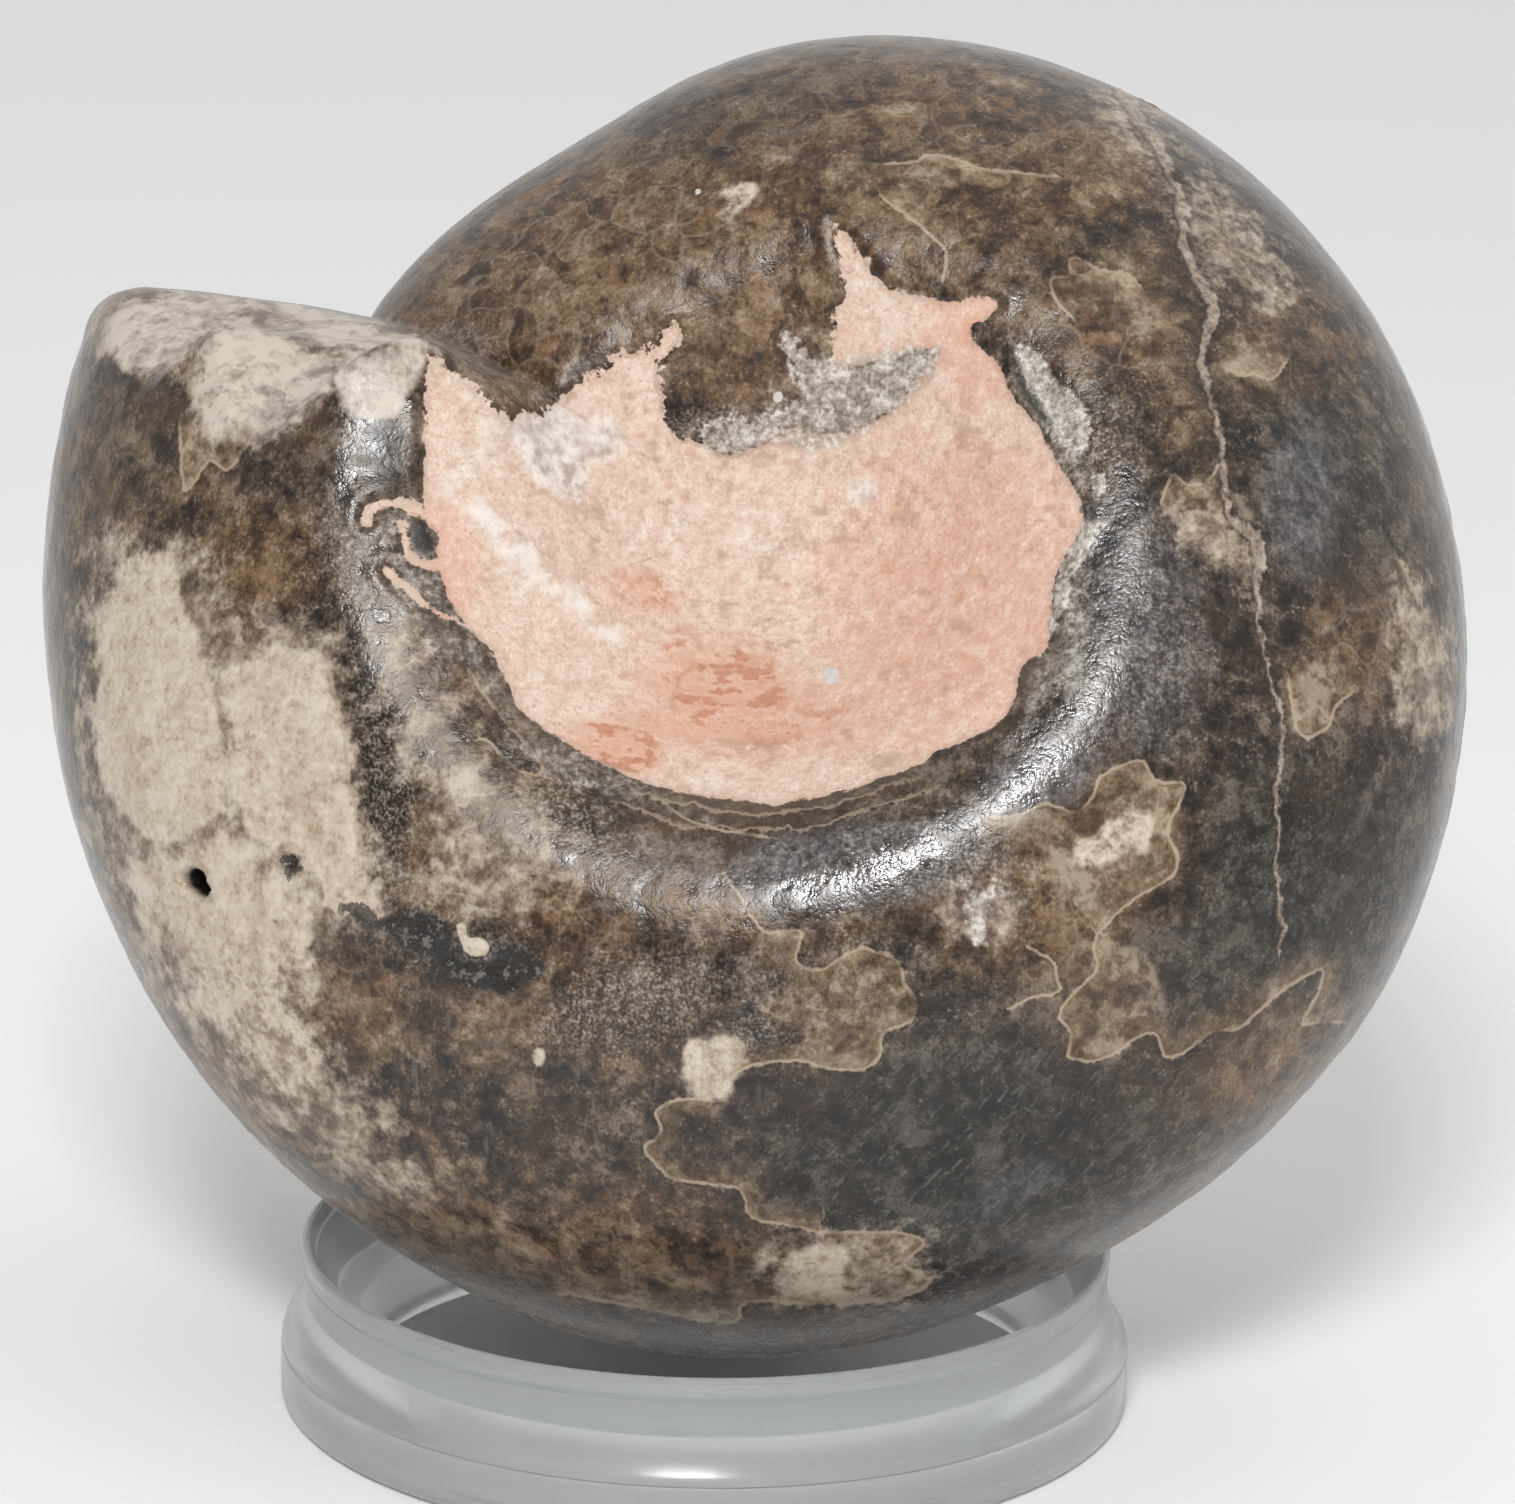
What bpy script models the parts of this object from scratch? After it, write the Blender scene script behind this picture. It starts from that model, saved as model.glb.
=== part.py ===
"""A polished fossil ammonite resting in a clear ring stand.

The ammonite is one stone. Its whorl grows along a logarithmic spiral, ends on
a fluted septum, and its umbilicus (the hollow round the coil axis) is filled
with pink limestone. It leans back in a low turned ring of clear acrylic.

The ammonite is modelled about its own coil axis (local +Z) and then tilted
into place. Round the axis, "back" is the angle behind the broken end, and
"turn" runs from 0 at the near pole through 90 degrees at the outer edge
(the venter) to 180 degrees at the far pole.
"""

import math

import bmesh
import bpy
import numpy as np

MM = 0.001

# --- Whorl ---------------------------------------------------------------
END_RADIUS = 48.2 * MM          # coil axis to venter at the broken end
GROWTH = 0.0632                 # spiral growth, per radian
NEAR_BREADTH = 0.565            # half breadth over radius, near flank
FAR_BREADTH = 0.60              # half breadth over radius, far flank
ROUNDNESS = 0.92                # section exponent: 1 is an ellipse, less is squarer
END_ANGLE = math.radians(161.4)     # polar angle of the broken end
END_OVERLAP = math.radians(7.7)     # how far the septum leans over the inner whorl

# (angle back from the broken end, half width, change of radius)
SWELLS = (
    (math.radians(60), math.radians(25), 0.022),
    (math.radians(105), math.radians(35), 0.077),
    (math.radians(165), math.radians(30), 0.040),
    (math.radians(322), math.radians(20), -0.049),
)
FAR_SWELL = 0.245               # extra breadth of the far flank, where it rests
FAR_SWELL_ANGLE = math.radians(99)
FAR_SWELL_WIDTH = math.radians(42)

# --- Umbilicus, a dished hollow on each flank -----------------------------
NEAR_FLOOR = 11.5 * MM          # height of the matrix fill over the mid plane
FAR_FLOOR = 13.0 * MM
FLOOR_EDGE = 0.04               # fill is level inside this share of the radius
SHOULDER_EDGE = 0.60            # and has no effect outside this share

# --- Fluted rim of the septum ---------------------------------------------
# (share of the end radius, how far the rim is cut back along the whorl)
RIM_FLUTES = (
    (0.000, 6.0 * MM),
    (0.490, 0.0 * MM),          # crest on the umbilical shoulder
    (0.650, 9.2 * MM),          # deep flute on the flank
    (0.735, 2.6 * MM),          # middle crest
    (0.820, 6.8 * MM),          # outer flute
    (0.950, 1.0 * MM),
    (1.000, 0.0 * MM),          # crest on the venter
)
FAR_FLUTE_SHARE = 0.8           # flutes of the far flank against the near ones
FLUTE_FADE = math.radians(35)   # the rim's shape is gone this far back
RIM_ROUNDING = 2.2 * MM         # polished edge between flank and septum
FLAT_RADIUS = 16.0 * MM         # the rounding angle is held level inside this
LARGEST_RIM_ANGLE = 0.30        # keeps the rows near the poles from folding back

# --- Septum between its rim and the inner whorl ------------------------------
SEPTUM_DISH = math.radians(1.0)     # how far it is hollowed along the whorl
SADDLE_DISH = math.radians(2.6)     # more behind the middle crest
SADDLE_PLACE = 0.735                # share of the end radius
SADDLE_WIDTH = 0.05

# --- Ridges and furrow in the matrix, in the coil plane --------------------
WALL_RIDGE = ((-20.4, 7.2), (-17.6, 5.5), (-15.4, 3.8), (-12.5, 1.0), (-9.4, -2.0))
WALL_FURROW = ((-17.7, 7.3), (-15.2, 5.6), (-12.9, 3.6), (-10.0, 0.4), (-8.0, -2.2))
PALE_FOLD = ((-18.6, -0.2), (-13.5, -4.0), (-7.4, -8.2))
RIDGE_HEIGHT = 1.3 * MM
FURROW_DEPTH = 1.5 * MM
FOLD_HEIGHT = 0.8 * MM
FOLD_HALF_WIDTH = 1.8 * MM

# --- Mesh density ----------------------------------------------------------
BODY_ROWS = 66
ROUNDING_ROWS = 4
SEPTUM_ROWS = 12
BOWL_POINTS = 15                # from the near pole to the bowl's edge
BOWL_EDGE = math.radians(30)
FLANK_POINTS = 14               # from the bowl's edge to the venter
FAR_POINTS = 16                 # from the venter to the far pole
RING_SEGMENTS = 56

# --- Ring stand ------------------------------------------------------------
RING_BASE_RADIUS = 25.4 * MM    # two inches across the foot
RING_RIM_RADIUS = 24.2 * MM
RING_HEIGHT = 9.4 * MM
RING_FOOT_HEIGHT = 3.5 * MM     # upright band round the foot
RING_COVE_RADIUS = 23.5 * MM    # waist between foot and rim
RING_COVE_HEIGHT = 6.3 * MM
RING_RIM_WIDTH = 0.5 * MM       # flat top of the rim
RING_BORE_RADIUS = 20.8 * MM
RING_BEVEL_HEIGHT = 4.8 * MM    # where the seat's bevel meets the bore
RING_EDGE_BREAK = 0.3 * MM

# --- Placing ---------------------------------------------------------------
RING_CENTRE = (-1.91 * MM, -7.52 * MM, 0.0)
AMMONITE_FROM_RING = (5.92 * MM, 12.18 * MM, 45.9 * MM)
AXIS_RISE = math.radians(31.0)      # the coil axis points up by this much
AXIS_SWING = math.radians(10.2)      # and to the left by this much


def remove_everything():
    """Clear the scene's objects."""
    for item in list(bpy.data.objects):
        bpy.data.objects.remove(item, do_unlink=True)


def material(name, colour, roughness, alpha=1.0, transmission=0.0, ior=1.5):
    """A Principled BSDF material."""
    made = bpy.data.materials.new(name)
    made.use_nodes = True
    shader = made.node_tree.nodes["Principled BSDF"]
    shader.inputs["Base Color"].default_value = (*colour, 1.0)
    shader.inputs["Roughness"].default_value = roughness
    shader.inputs["Metallic"].default_value = 0.0
    shader.inputs["Alpha"].default_value = alpha
    shader.inputs["Transmission Weight"].default_value = transmission
    shader.inputs["IOR"].default_value = ior
    made.diffuse_color = (*colour, alpha)
    return made


def smoothstep(low, high, value):
    """0 below low, 1 above high, and a smooth rise between."""
    share = np.clip((value - low) / (high - low), 0.0, 1.0)
    return share * share * (3.0 - 2.0 * share)


def bump(angle, centre, width):
    """A bell of height 1."""
    return np.exp(-((angle - centre) / width) ** 2)


def whorl_section(back, turn):
    """Distance from the coil axis, and height over the mid plane."""
    spiral = END_RADIUS * np.exp(-GROWTH * back)
    reach = spiral * (1.0 + sum(share * bump(back, at, width) for at, width, share in SWELLS))
    swell = 1.0 + FAR_SWELL * bump(back, FAR_SWELL_ANGLE, FAR_SWELL_WIDTH)
    is_near = np.cos(turn) > 0.0
    breadth = spiral * np.where(is_near, NEAR_BREADTH, FAR_BREADTH * swell)
    radius = reach * np.abs(np.sin(turn)) ** ROUNDNESS
    height = breadth * np.sign(np.cos(turn)) * np.abs(np.cos(turn)) ** ROUNDNESS
    floor = np.where(is_near, NEAR_FLOOR, -FAR_FLOOR)
    fill = 1.0 - smoothstep(FLOOR_EDGE, SHOULDER_EDGE, radius / reach)
    return radius, height * (1.0 - fill) + floor * fill


def points_at(radius, angle, height):
    """Local points from cylinder coordinates about the coil axis."""
    return np.stack([radius * np.cos(angle), radius * np.sin(angle), height], axis=-1)


def rim_setback(turn):
    """How far the septum's rim is cut back at each turn: its flutes."""
    share = np.abs(np.sin(turn)) ** ROUNDNESS
    places = [place for place, depth in RIM_FLUTES]
    depths = [depth for place, depth in RIM_FLUTES]
    index = np.clip(np.searchsorted(places, share, side="right") - 1, 0, len(places) - 2)
    low = np.take(places, index)
    high = np.take(places, index + 1)
    blend = smoothstep(low, high, share)
    depth = np.take(depths, index) * (1.0 - blend) + np.take(depths, index + 1) * blend
    return np.where(np.cos(turn) > 0.0, depth, depth * FAR_FLUTE_SHARE)


def distance_along(x, y, line):
    """Distance from points to a line of millimetre points, and the share along it."""
    line = np.array(line) * MM
    lengths = np.linalg.norm(np.diff(line, axis=0), axis=1)
    nearest = np.full(x.shape, np.inf)
    along = np.zeros(x.shape)
    for start, end, length, done in zip(line, line[1:], lengths, np.cumsum(lengths) - lengths):
        step = (end - start) / length
        reach = np.clip((x - start[0]) * step[0] + (y - start[1]) * step[1], 0.0, length)
        gap = np.hypot(x - start[0] - reach * step[0], y - start[1] - reach * step[1])
        along = np.where(gap < nearest, (done + reach) / lengths.sum(), along)
        nearest = np.minimum(nearest, gap)
    return nearest, along


def matrix_relief(x, y):
    """Height added to the near side: the wall's ridge and furrow, and a fold."""
    gap, along = distance_along(x, y, WALL_RIDGE)
    relief = RIDGE_HEIGHT * np.exp(-(gap / FOLD_HALF_WIDTH) ** 2) * (1.0 - along) ** 0.6
    gap, along = distance_along(x, y, WALL_FURROW)
    relief -= FURROW_DEPTH * np.exp(-(gap / FOLD_HALF_WIDTH) ** 2) * (1.0 - along) ** 0.7
    gap, along = distance_along(x, y, PALE_FOLD)
    relief += FOLD_HEIGHT * np.exp(-(gap / FOLD_HALF_WIDTH) ** 2) * np.sin(math.pi * along)
    return relief


def shell_rows(turn):
    """Rows of points, pole to pole, round the whorl and over the septum."""
    inner_end = 2.0 * math.pi - END_OVERLAP
    end_radius = whorl_section(np.zeros_like(turn), turn)[0]
    rim_angle = rim_setback(turn) / np.maximum(end_radius, FLAT_RADIUS / 2.0)
    rim_angle = np.minimum(rim_angle, LARGEST_RIM_ANGLE)
    rounding_angle = RIM_ROUNDING / np.maximum(end_radius, FLAT_RADIUS)

    def flank(back):
        shifted = back + rim_angle * np.maximum(0.0, 1.0 - back / FLUTE_FADE) ** 2
        radius, height = whorl_section(shifted, turn)
        return points_at(radius, END_ANGLE + shifted, height)

    rim_radius, rim_height = whorl_section(rim_angle, turn)
    inner_radius, inner_height = whorl_section(np.full_like(turn, inner_end), turn)

    end_share = np.abs(np.sin(turn)) ** ROUNDNESS
    dish = SEPTUM_DISH + SADDLE_DISH * bump(end_share, SADDLE_PLACE, SADDLE_WIDTH)

    def septum(share):
        radius = rim_radius * (1.0 - share) + inner_radius * share
        height = rim_height * (1.0 - share) + inner_height * share
        lean = rim_angle * (1.0 - share) ** 2 - END_OVERLAP * share ** 0.8
        lean = lean + dish * np.sin(math.pi * share)
        return points_at(radius, END_ANGLE + lean, height)

    width = 2.0 * np.linalg.norm(septum(0.5) - septum(0.0), axis=-1)
    rounded_share = RIM_ROUNDING / np.maximum(width, 2.2 * RIM_ROUNDING)

    rows = []
    for step in np.linspace(0.0, 1.0, BODY_ROWS):
        rows.append(flank(inner_end * (1.0 - step) + rounding_angle * step))
    last_flank = flank(rounding_angle)
    corner = flank(0.0)
    first_septum = septum(rounded_share)
    for step in np.arange(1, ROUNDING_ROWS + 1) / (ROUNDING_ROWS + 1):
        rows.append(
            last_flank * (1.0 - step) ** 2
            + corner * 2.0 * step * (1.0 - step)
            + first_septum * step ** 2
        )
    for step in np.linspace(0.0, 1.0, SEPTUM_ROWS, endpoint=False):
        rows.append(septum(rounded_share + (1.0 - rounded_share) * step))
    grid = np.array(rows)
    is_near = np.cos(turn) > 0.0
    grid[:, is_near, 2] += matrix_relief(grid[:, is_near, 0], grid[:, is_near, 1])
    return grid


def new_object(name, mesh, surface):
    """Link a mesh as an object, shaded smooth but for sharp edges."""
    mesh.materials.append(surface)
    mesh.shade_smooth()
    mesh.set_sharp_from_angle(angle=math.radians(40))
    made = bpy.data.objects.new(name, mesh)
    bpy.context.scene.collection.objects.link(made)
    return made


def build_ammonite(surface):
    """The whole stone as one closed skin of rows that meet at the two poles."""
    bowl_turn = np.linspace(0.0, BOWL_EDGE, BOWL_POINTS, endpoint=False)
    flank_turn = np.linspace(BOWL_EDGE, math.pi / 2.0, FLANK_POINTS, endpoint=False)
    far_turn = np.linspace(math.pi / 2.0, math.pi, FAR_POINTS)
    turn = np.concatenate([bowl_turn, flank_turn, far_turn])
    grid = shell_rows(turn)
    form = bmesh.new()
    near_pole = form.verts.new(grid[:, 0].mean(axis=0))
    far_pole = form.verts.new(grid[:, -1].mean(axis=0))
    rows = [[form.verts.new(point) for point in row[1:-1]] for row in grid]
    for row, following in zip(rows, rows[1:] + rows[:1]):
        form.faces.new((near_pole, row[0], following[0]))
        for index in range(len(row) - 1):
            form.faces.new((row[index], row[index + 1], following[index + 1], following[index]))
        form.faces.new((far_pole, following[-1], row[-1]))
    bmesh.ops.recalc_face_normals(form, faces=form.faces)
    mesh = bpy.data.meshes.new("ammonite")
    form.to_mesh(mesh)
    form.free()
    ammonite = new_object("ammonite", mesh, surface)
    ammonite.location = [base + offset for base, offset in zip(RING_CENTRE, AMMONITE_FROM_RING)]
    ammonite.rotation_euler = (math.pi / 2.0 - AXIS_RISE, 0.0, -AXIS_SWING)
    return ammonite


def ring_profile():
    """Outline of the ring's wall, as (radius, height), up the outside and down the bore."""
    cove = []
    for step in np.linspace(0.0, 1.0, 7)[1:-1]:
        foot = (RING_BASE_RADIUS, RING_FOOT_HEIGHT)
        waist = (RING_COVE_RADIUS, RING_COVE_HEIGHT)
        rim = (RING_RIM_RADIUS, RING_HEIGHT - RING_EDGE_BREAK)
        weights = ((1.0 - step) ** 2, 2.0 * step * (1.0 - step), step ** 2)
        cove.append(tuple(
            sum(weight * point[axis] for weight, point in zip(weights, (foot, waist, rim)))
            for axis in (0, 1)
        ))
    rim_inner = RING_RIM_RADIUS - RING_RIM_WIDTH
    return [
        (RING_BASE_RADIUS - RING_EDGE_BREAK, 0.0),
        (RING_BASE_RADIUS, RING_EDGE_BREAK),
        (RING_BASE_RADIUS, RING_FOOT_HEIGHT),
        *cove,
        (RING_RIM_RADIUS, RING_HEIGHT - RING_EDGE_BREAK),
        (RING_RIM_RADIUS - RING_EDGE_BREAK, RING_HEIGHT),
        (rim_inner, RING_HEIGHT),
        (RING_BORE_RADIUS, RING_BEVEL_HEIGHT),
        (RING_BORE_RADIUS, 0.0),
    ]


def build_ring(surface):
    """Turn the ring's outline about the upright axis."""
    form = bmesh.new()
    outline = [form.verts.new((radius, 0.0, height)) for radius, height in ring_profile()]
    edges = [form.edges.new(pair) for pair in zip(outline, outline[1:] + outline[:1])]
    bmesh.ops.spin(
        form, geom=outline + edges, cent=(0.0, 0.0, 0.0), axis=(0.0, 0.0, 1.0),
        angle=2.0 * math.pi, steps=RING_SEGMENTS,
    )
    bmesh.ops.remove_doubles(form, verts=form.verts, dist=0.01 * MM)
    bmesh.ops.recalc_face_normals(form, faces=form.faces)
    mesh = bpy.data.meshes.new("ring_stand")
    form.to_mesh(mesh)
    form.free()
    ring = new_object("ring_stand", mesh, surface)
    ring.location = RING_CENTRE
    return ring


def main():
    remove_everything()
    stone = material("fossil_stone", (0.15, 0.115, 0.09), roughness=0.3)
    acrylic = material("clear_acrylic", (0.85, 0.87, 0.88), roughness=0.08,
                       alpha=0.4, transmission=1.0, ior=1.49)
    build_ammonite(stone)
    build_ring(acrylic)


main()
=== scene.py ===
"""Looks of a polished fossil ammonite resting in a clear acrylic ring.

The frame gives two nodes, the stone and the ring. Each is replaced by a finer
mesh of the same form. Markings that show in the photograph are placed by its
pixels: a vertex is projected to the photograph's frame, and its distance to an
outline becomes a vertex attribute that the stone's material reads. Where the
photograph shows nothing, the same attributes come from formulas and noise.
"""

import math

import bpy
import numpy as np
from mathutils import Matrix


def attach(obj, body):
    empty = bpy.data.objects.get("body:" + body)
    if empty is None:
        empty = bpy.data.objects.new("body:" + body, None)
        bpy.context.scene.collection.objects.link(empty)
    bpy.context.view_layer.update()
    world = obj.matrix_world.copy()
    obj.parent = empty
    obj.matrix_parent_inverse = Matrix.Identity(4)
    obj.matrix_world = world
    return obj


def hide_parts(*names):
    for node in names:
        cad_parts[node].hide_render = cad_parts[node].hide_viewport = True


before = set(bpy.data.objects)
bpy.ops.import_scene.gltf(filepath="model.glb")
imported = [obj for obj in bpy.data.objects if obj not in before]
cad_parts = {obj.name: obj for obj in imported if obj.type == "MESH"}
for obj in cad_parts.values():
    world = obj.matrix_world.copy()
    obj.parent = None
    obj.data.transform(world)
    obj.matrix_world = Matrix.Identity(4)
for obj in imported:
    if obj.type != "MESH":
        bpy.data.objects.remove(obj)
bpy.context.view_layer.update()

MM = 0.001

# --- The photograph's frame and camera ---

PHOTO_WIDTH = 1515
PHOTO_HEIGHT = 1504
PIXEL = 0.0588 * MM             # one pixel on the stone
CAMERA_PITCH = math.radians(16.12)
CAMERA_ROLL = math.radians(0.98)
CAMERA_DISTANCE = 450.0 * MM
CAMERA_LENS = 181.9             # on a sensor 36 mm wide
CAMERA_SENSOR = 36.0

# --- The whorl, as in the part ---

END_RADIUS = 48.2 * MM
GROWTH = 0.0632
NEAR_BREADTH = 0.565
FAR_BREADTH = 0.60
ROUNDNESS = 0.92
END_ANGLE = math.radians(161.4)
END_OVERLAP = math.radians(7.7)
SWELLS = (
    (math.radians(60), math.radians(25), 0.022),
    (math.radians(105), math.radians(35), 0.077),
    (math.radians(165), math.radians(30), 0.040),
    (math.radians(322), math.radians(20), -0.049),
)
FAR_SWELL = 0.245
FAR_SWELL_ANGLE = math.radians(99)
FAR_SWELL_WIDTH = math.radians(42)
NEAR_FLOOR = 11.5 * MM
FAR_FLOOR = 13.0 * MM
FLOOR_EDGE = 0.04
SHOULDER_EDGE = 0.60
# (share of the way out from the axis, how far the rim is cut back)
RIM_FLUTES = (
    (0.000, 6.0 * MM), (0.490, 0.0 * MM), (0.650, 9.2 * MM), (0.735, 2.6 * MM), (0.820, 6.8 * MM),
    (0.950, 1.0 * MM), (1.000, 0.0 * MM),
)
FAR_FLUTE_SHARE = 0.8
FLUTE_FADE = math.radians(35)
RIM_ROUNDING = 2.2 * MM
LEAST_WIDTH = 2.2               # of the septum, in rim roundings
FLAT_RADIUS = 16.0 * MM
LARGEST_RIM_ANGLE = 0.30
LEAN_POWER = 0.8                # how early the septum leans to the inner whorl
SEPTUM_DISH = math.radians(1.0)
SADDLE_DISH = math.radians(2.6)
SADDLE_PLACE = 0.735
SADDLE_WIDTH = 0.05
WALL_RIDGE = ((-20.4, 7.2), (-17.6, 5.5), (-15.4, 3.8), (-12.5, 1.0), (-9.4, -2.0))
WALL_FURROW = ((-17.7, 7.3), (-15.2, 5.6), (-12.9, 3.6), (-10.0, 0.4), (-8.0, -2.2))
PALE_FOLD = ((-18.6, -0.2), (-13.5, -4.0), (-7.4, -8.2))
RIDGE_HEIGHT = 1.3 * MM
RIDGE_FADE = 0.6                # power with which it sinks along its line
FURROW_DEPTH = 1.5 * MM
FURROW_FADE = 0.7
FOLD_HEIGHT = 0.8 * MM
FOLD_HALF_WIDTH = 1.8 * MM

# --- The ring and the places, as in the part ---

RING_CENTRE = np.array([-1.91 * MM, -7.52 * MM, 0.0])
AMMONITE_FROM_RING = np.array([5.92 * MM, 12.18 * MM, 45.9 * MM])
AXIS_RISE = math.radians(31.0)
AXIS_SWING = math.radians(10.2)
RING_BASE_RADIUS = 25.4 * MM
RING_RIM_RADIUS = 24.2 * MM
RING_HEIGHT = 9.4 * MM
RING_FOOT_HEIGHT = 3.5 * MM
RING_COVE_RADIUS = 23.5 * MM
RING_COVE_HEIGHT = 6.3 * MM
RING_RIM_WIDTH = 0.5 * MM
RING_BORE_RADIUS = 20.8 * MM
RING_BEVEL_HEIGHT = 4.8 * MM
RING_EDGE_BREAK = 0.3 * MM

CAMERA_TARGET = RING_CENTRE + np.array([2.58 * MM, 0.0, 39.65 * MM])

# --- Finer details than the part's ---

BODY_ROWS = 790
ROUNDING_ROWS = 12
SEPTUM_ROWS = 96
BOWL_EDGE = math.radians(30)    # the turn up to which the columns are closest
BOWL_POINTS = 92
FLANK_POINTS = 134
FAR_POINTS = 74
RING_STEPS = 256
COVE_STEPS = 24
RING_EDGE_ROUNDING = 0.09 * MM
RING_WALL_SETBACK = 0.08 * MM   # of the wall round the groove below the rim
RIM_GROOVE_DROP = 1.3 * MM
RIM_GROOVE_WIDTH = 0.16 * MM
GROOVE_DEPTH = 0.12 * MM
FOOT_GROOVE_DROP = 0.25 * MM
FOOT_GROOVE_WIDTH = 0.10 * MM
RIM_GROOVE_LIPS = (0.8, 0.3)    # how far its lips lie below and above it, in widths
LIP_OFFSET = 0.02 * MM
COVE_START = 0.03               # share along its curve where the cove's points begin
SEAT_SETBACK = 0.10 * MM        # how far outside the bore the seat's lower edge begins to round
SEAT_ROUNDING = 0.12 * MM
SEAT_DROP = 0.05 * MM
BORE_EDGE_BREAK = 0.2 * MM
SHARP_ANGLE = math.radians(28)

# millimetres on the stone; a pair is where something begins to fade and where it is gone
WAVE_HEIGHT = 0.10
GRAIN_HEIGHT = 0.07             # on brown parts
SMOOTH_SHARE = 0.3              # of that height elsewhere
LIP_HEIGHT = 0.10               # of the stone round the pink filling
LIP_PLACE = 0.7
LIP_WIDTH = 0.5
PINK_DEPTH = 0.35               # how far the pink filling lies below the stone
PINK_STEP = (-0.15, 0.30)
PINK_GRAIN_HEIGHT = 0.09
PINK_WANDER = 0.22              # how far the pink filling's edge strays from its outline
CRACK_HEIGHT = 0.14
CRACK_RAISED = (0.2, 0.5)       # half widths over which the crack rises
CRACK_EDGES = (0.5, 1.3)        # in half widths
HAIRLINE = 0.08                 # half the crack's width where it is thinnest
CRACK_HALF_WIDTH = 0.27         # what its wide part adds
FAR_OFF = 6.0                   # a distance beyond which it no longer matters
SUTURE_FADE = (1.0, 2.0)
GLOW_FADE = (0.0, 2.2)

PATCH_LIMIT = 4.0               # in widths of a patch's soft edge
HOLE_EDGES = (0.55, 1.15)       # where a hole's wall begins and ends, in radii
FRONT_EDGES = (0.01, 0.10)      # cosines of sight over which the photograph's markings fade in
NEAR_MARGIN = 110.0             # pixels round an outline within which its distance is measured
LINE_FADE = 12.0                # pixels over which a line's end fades
CRACK_NARROWS = (200.0, 450.0)  # rows over which the crack narrows
CRACK_NARROWING = 0.6
CRACK_NARROW_ROW = 480.0        # the row where its narrow part begins
CRACK_NARROW_SHARE = 0.4
CRACK_THINS_AT = 560            # the row where its last swelling is
CRACK_SWELLING = 0.3
CRACK_SWELLING_ROWS = 40.0
CRACK_TAPER = 80.0
CRACK_LUMPS = (0.15, 1.4)       # least and most of its width that lumps leave
CRACK_USUAL = 0.70              # what they leave on average
CRACK_UNEVENNESS = 0.9
LEAST_CRACK = 0.02              # least half width that a share is taken of
AREA_FALL = 0.7                 # how steeply a soft ellipse falls off
AREA_POWER = 1.5

# (size of its features, layers, shift) of each noise on the stone's points
WAVE_NOISE = (9.0 * MM, 2, 81.0)
GRAIN_NOISE = (1.5 * MM, 2, 91.0)
PINK_GRAIN_NOISE = (2.2 * MM, 3, 101.0)
PINK_EDGE_NOISE = (1.6 * MM, 2, 3.0)
CRACK_NOISE = (2.4 * MM, 2, 5.0)

# --- Markings, in the photograph's pixels ---

PINK_OUTLINES = (
    ((428, 356), (424, 418), (424, 503), (436, 548), (450, 600), (472, 634), (494, 650), (510, 684),
     (530, 715), (579, 752), (655, 785), (732, 798), (800, 801), (858, 782), (924, 757), (981, 733),
     (1009, 708), (1021, 662), (1045, 645), (1051, 599), (1058, 564), (1081, 526), (1079, 501), (1050, 453),
     (1034, 425), (1014, 402), (1004, 371), (978, 341), (972, 325), (988, 315), (996, 302), (983, 297),
     (948, 301), (902, 292), (874, 272), (856, 246), (833, 223), (845, 290), (833, 318), (834, 369),
     (871, 364), (917, 353), (935, 352), (918, 374), (897, 402), (858, 427), (829, 435), (795, 430),
     (732, 456), (705, 444), (676, 432), (660, 390), (661, 368), (679, 338), (674, 324), (646, 347),
     (610, 360), (578, 380), (560, 388), (548, 402), (537, 413), (508, 413), (470, 382)),
    ((362, 520), (368, 504), (388, 495), (408, 496), (426, 506), (426, 518), (404, 509), (390, 507),
     (374, 513), (370, 524)),
    ((386, 566), (396, 570), (428, 600), (462, 618), (458, 626), (424, 608), (390, 578)),
    ((399, 522), (408, 524), (412, 546), (424, 557), (438, 557), (448, 546), (452, 560), (440, 569),
     (422, 569), (408, 562), (401, 546)),
)
PALE_FACES = (
    ((112, 334), (132, 306), (170, 292), (215, 288), (262, 300), (236, 312), (210, 326), (184, 344),
     (160, 364), (136, 372), (118, 366)),
    ((200, 352), (222, 326), (250, 320), (266, 334), (290, 346), (312, 356), (340, 352), (338, 372),
     (318, 395), (290, 418), (251, 438), (216, 446), (206, 424), (200, 390)),
    ((268, 298), (310, 302), (352, 314), (400, 334), (440, 350), (400, 340), (350, 346), (322, 346),
     (306, 326), (288, 310)),
    ((330, 372), (362, 352), (400, 348), (424, 356), (420, 372), (408, 392), (402, 404), (380, 412),
     (350, 412)),
)
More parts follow.
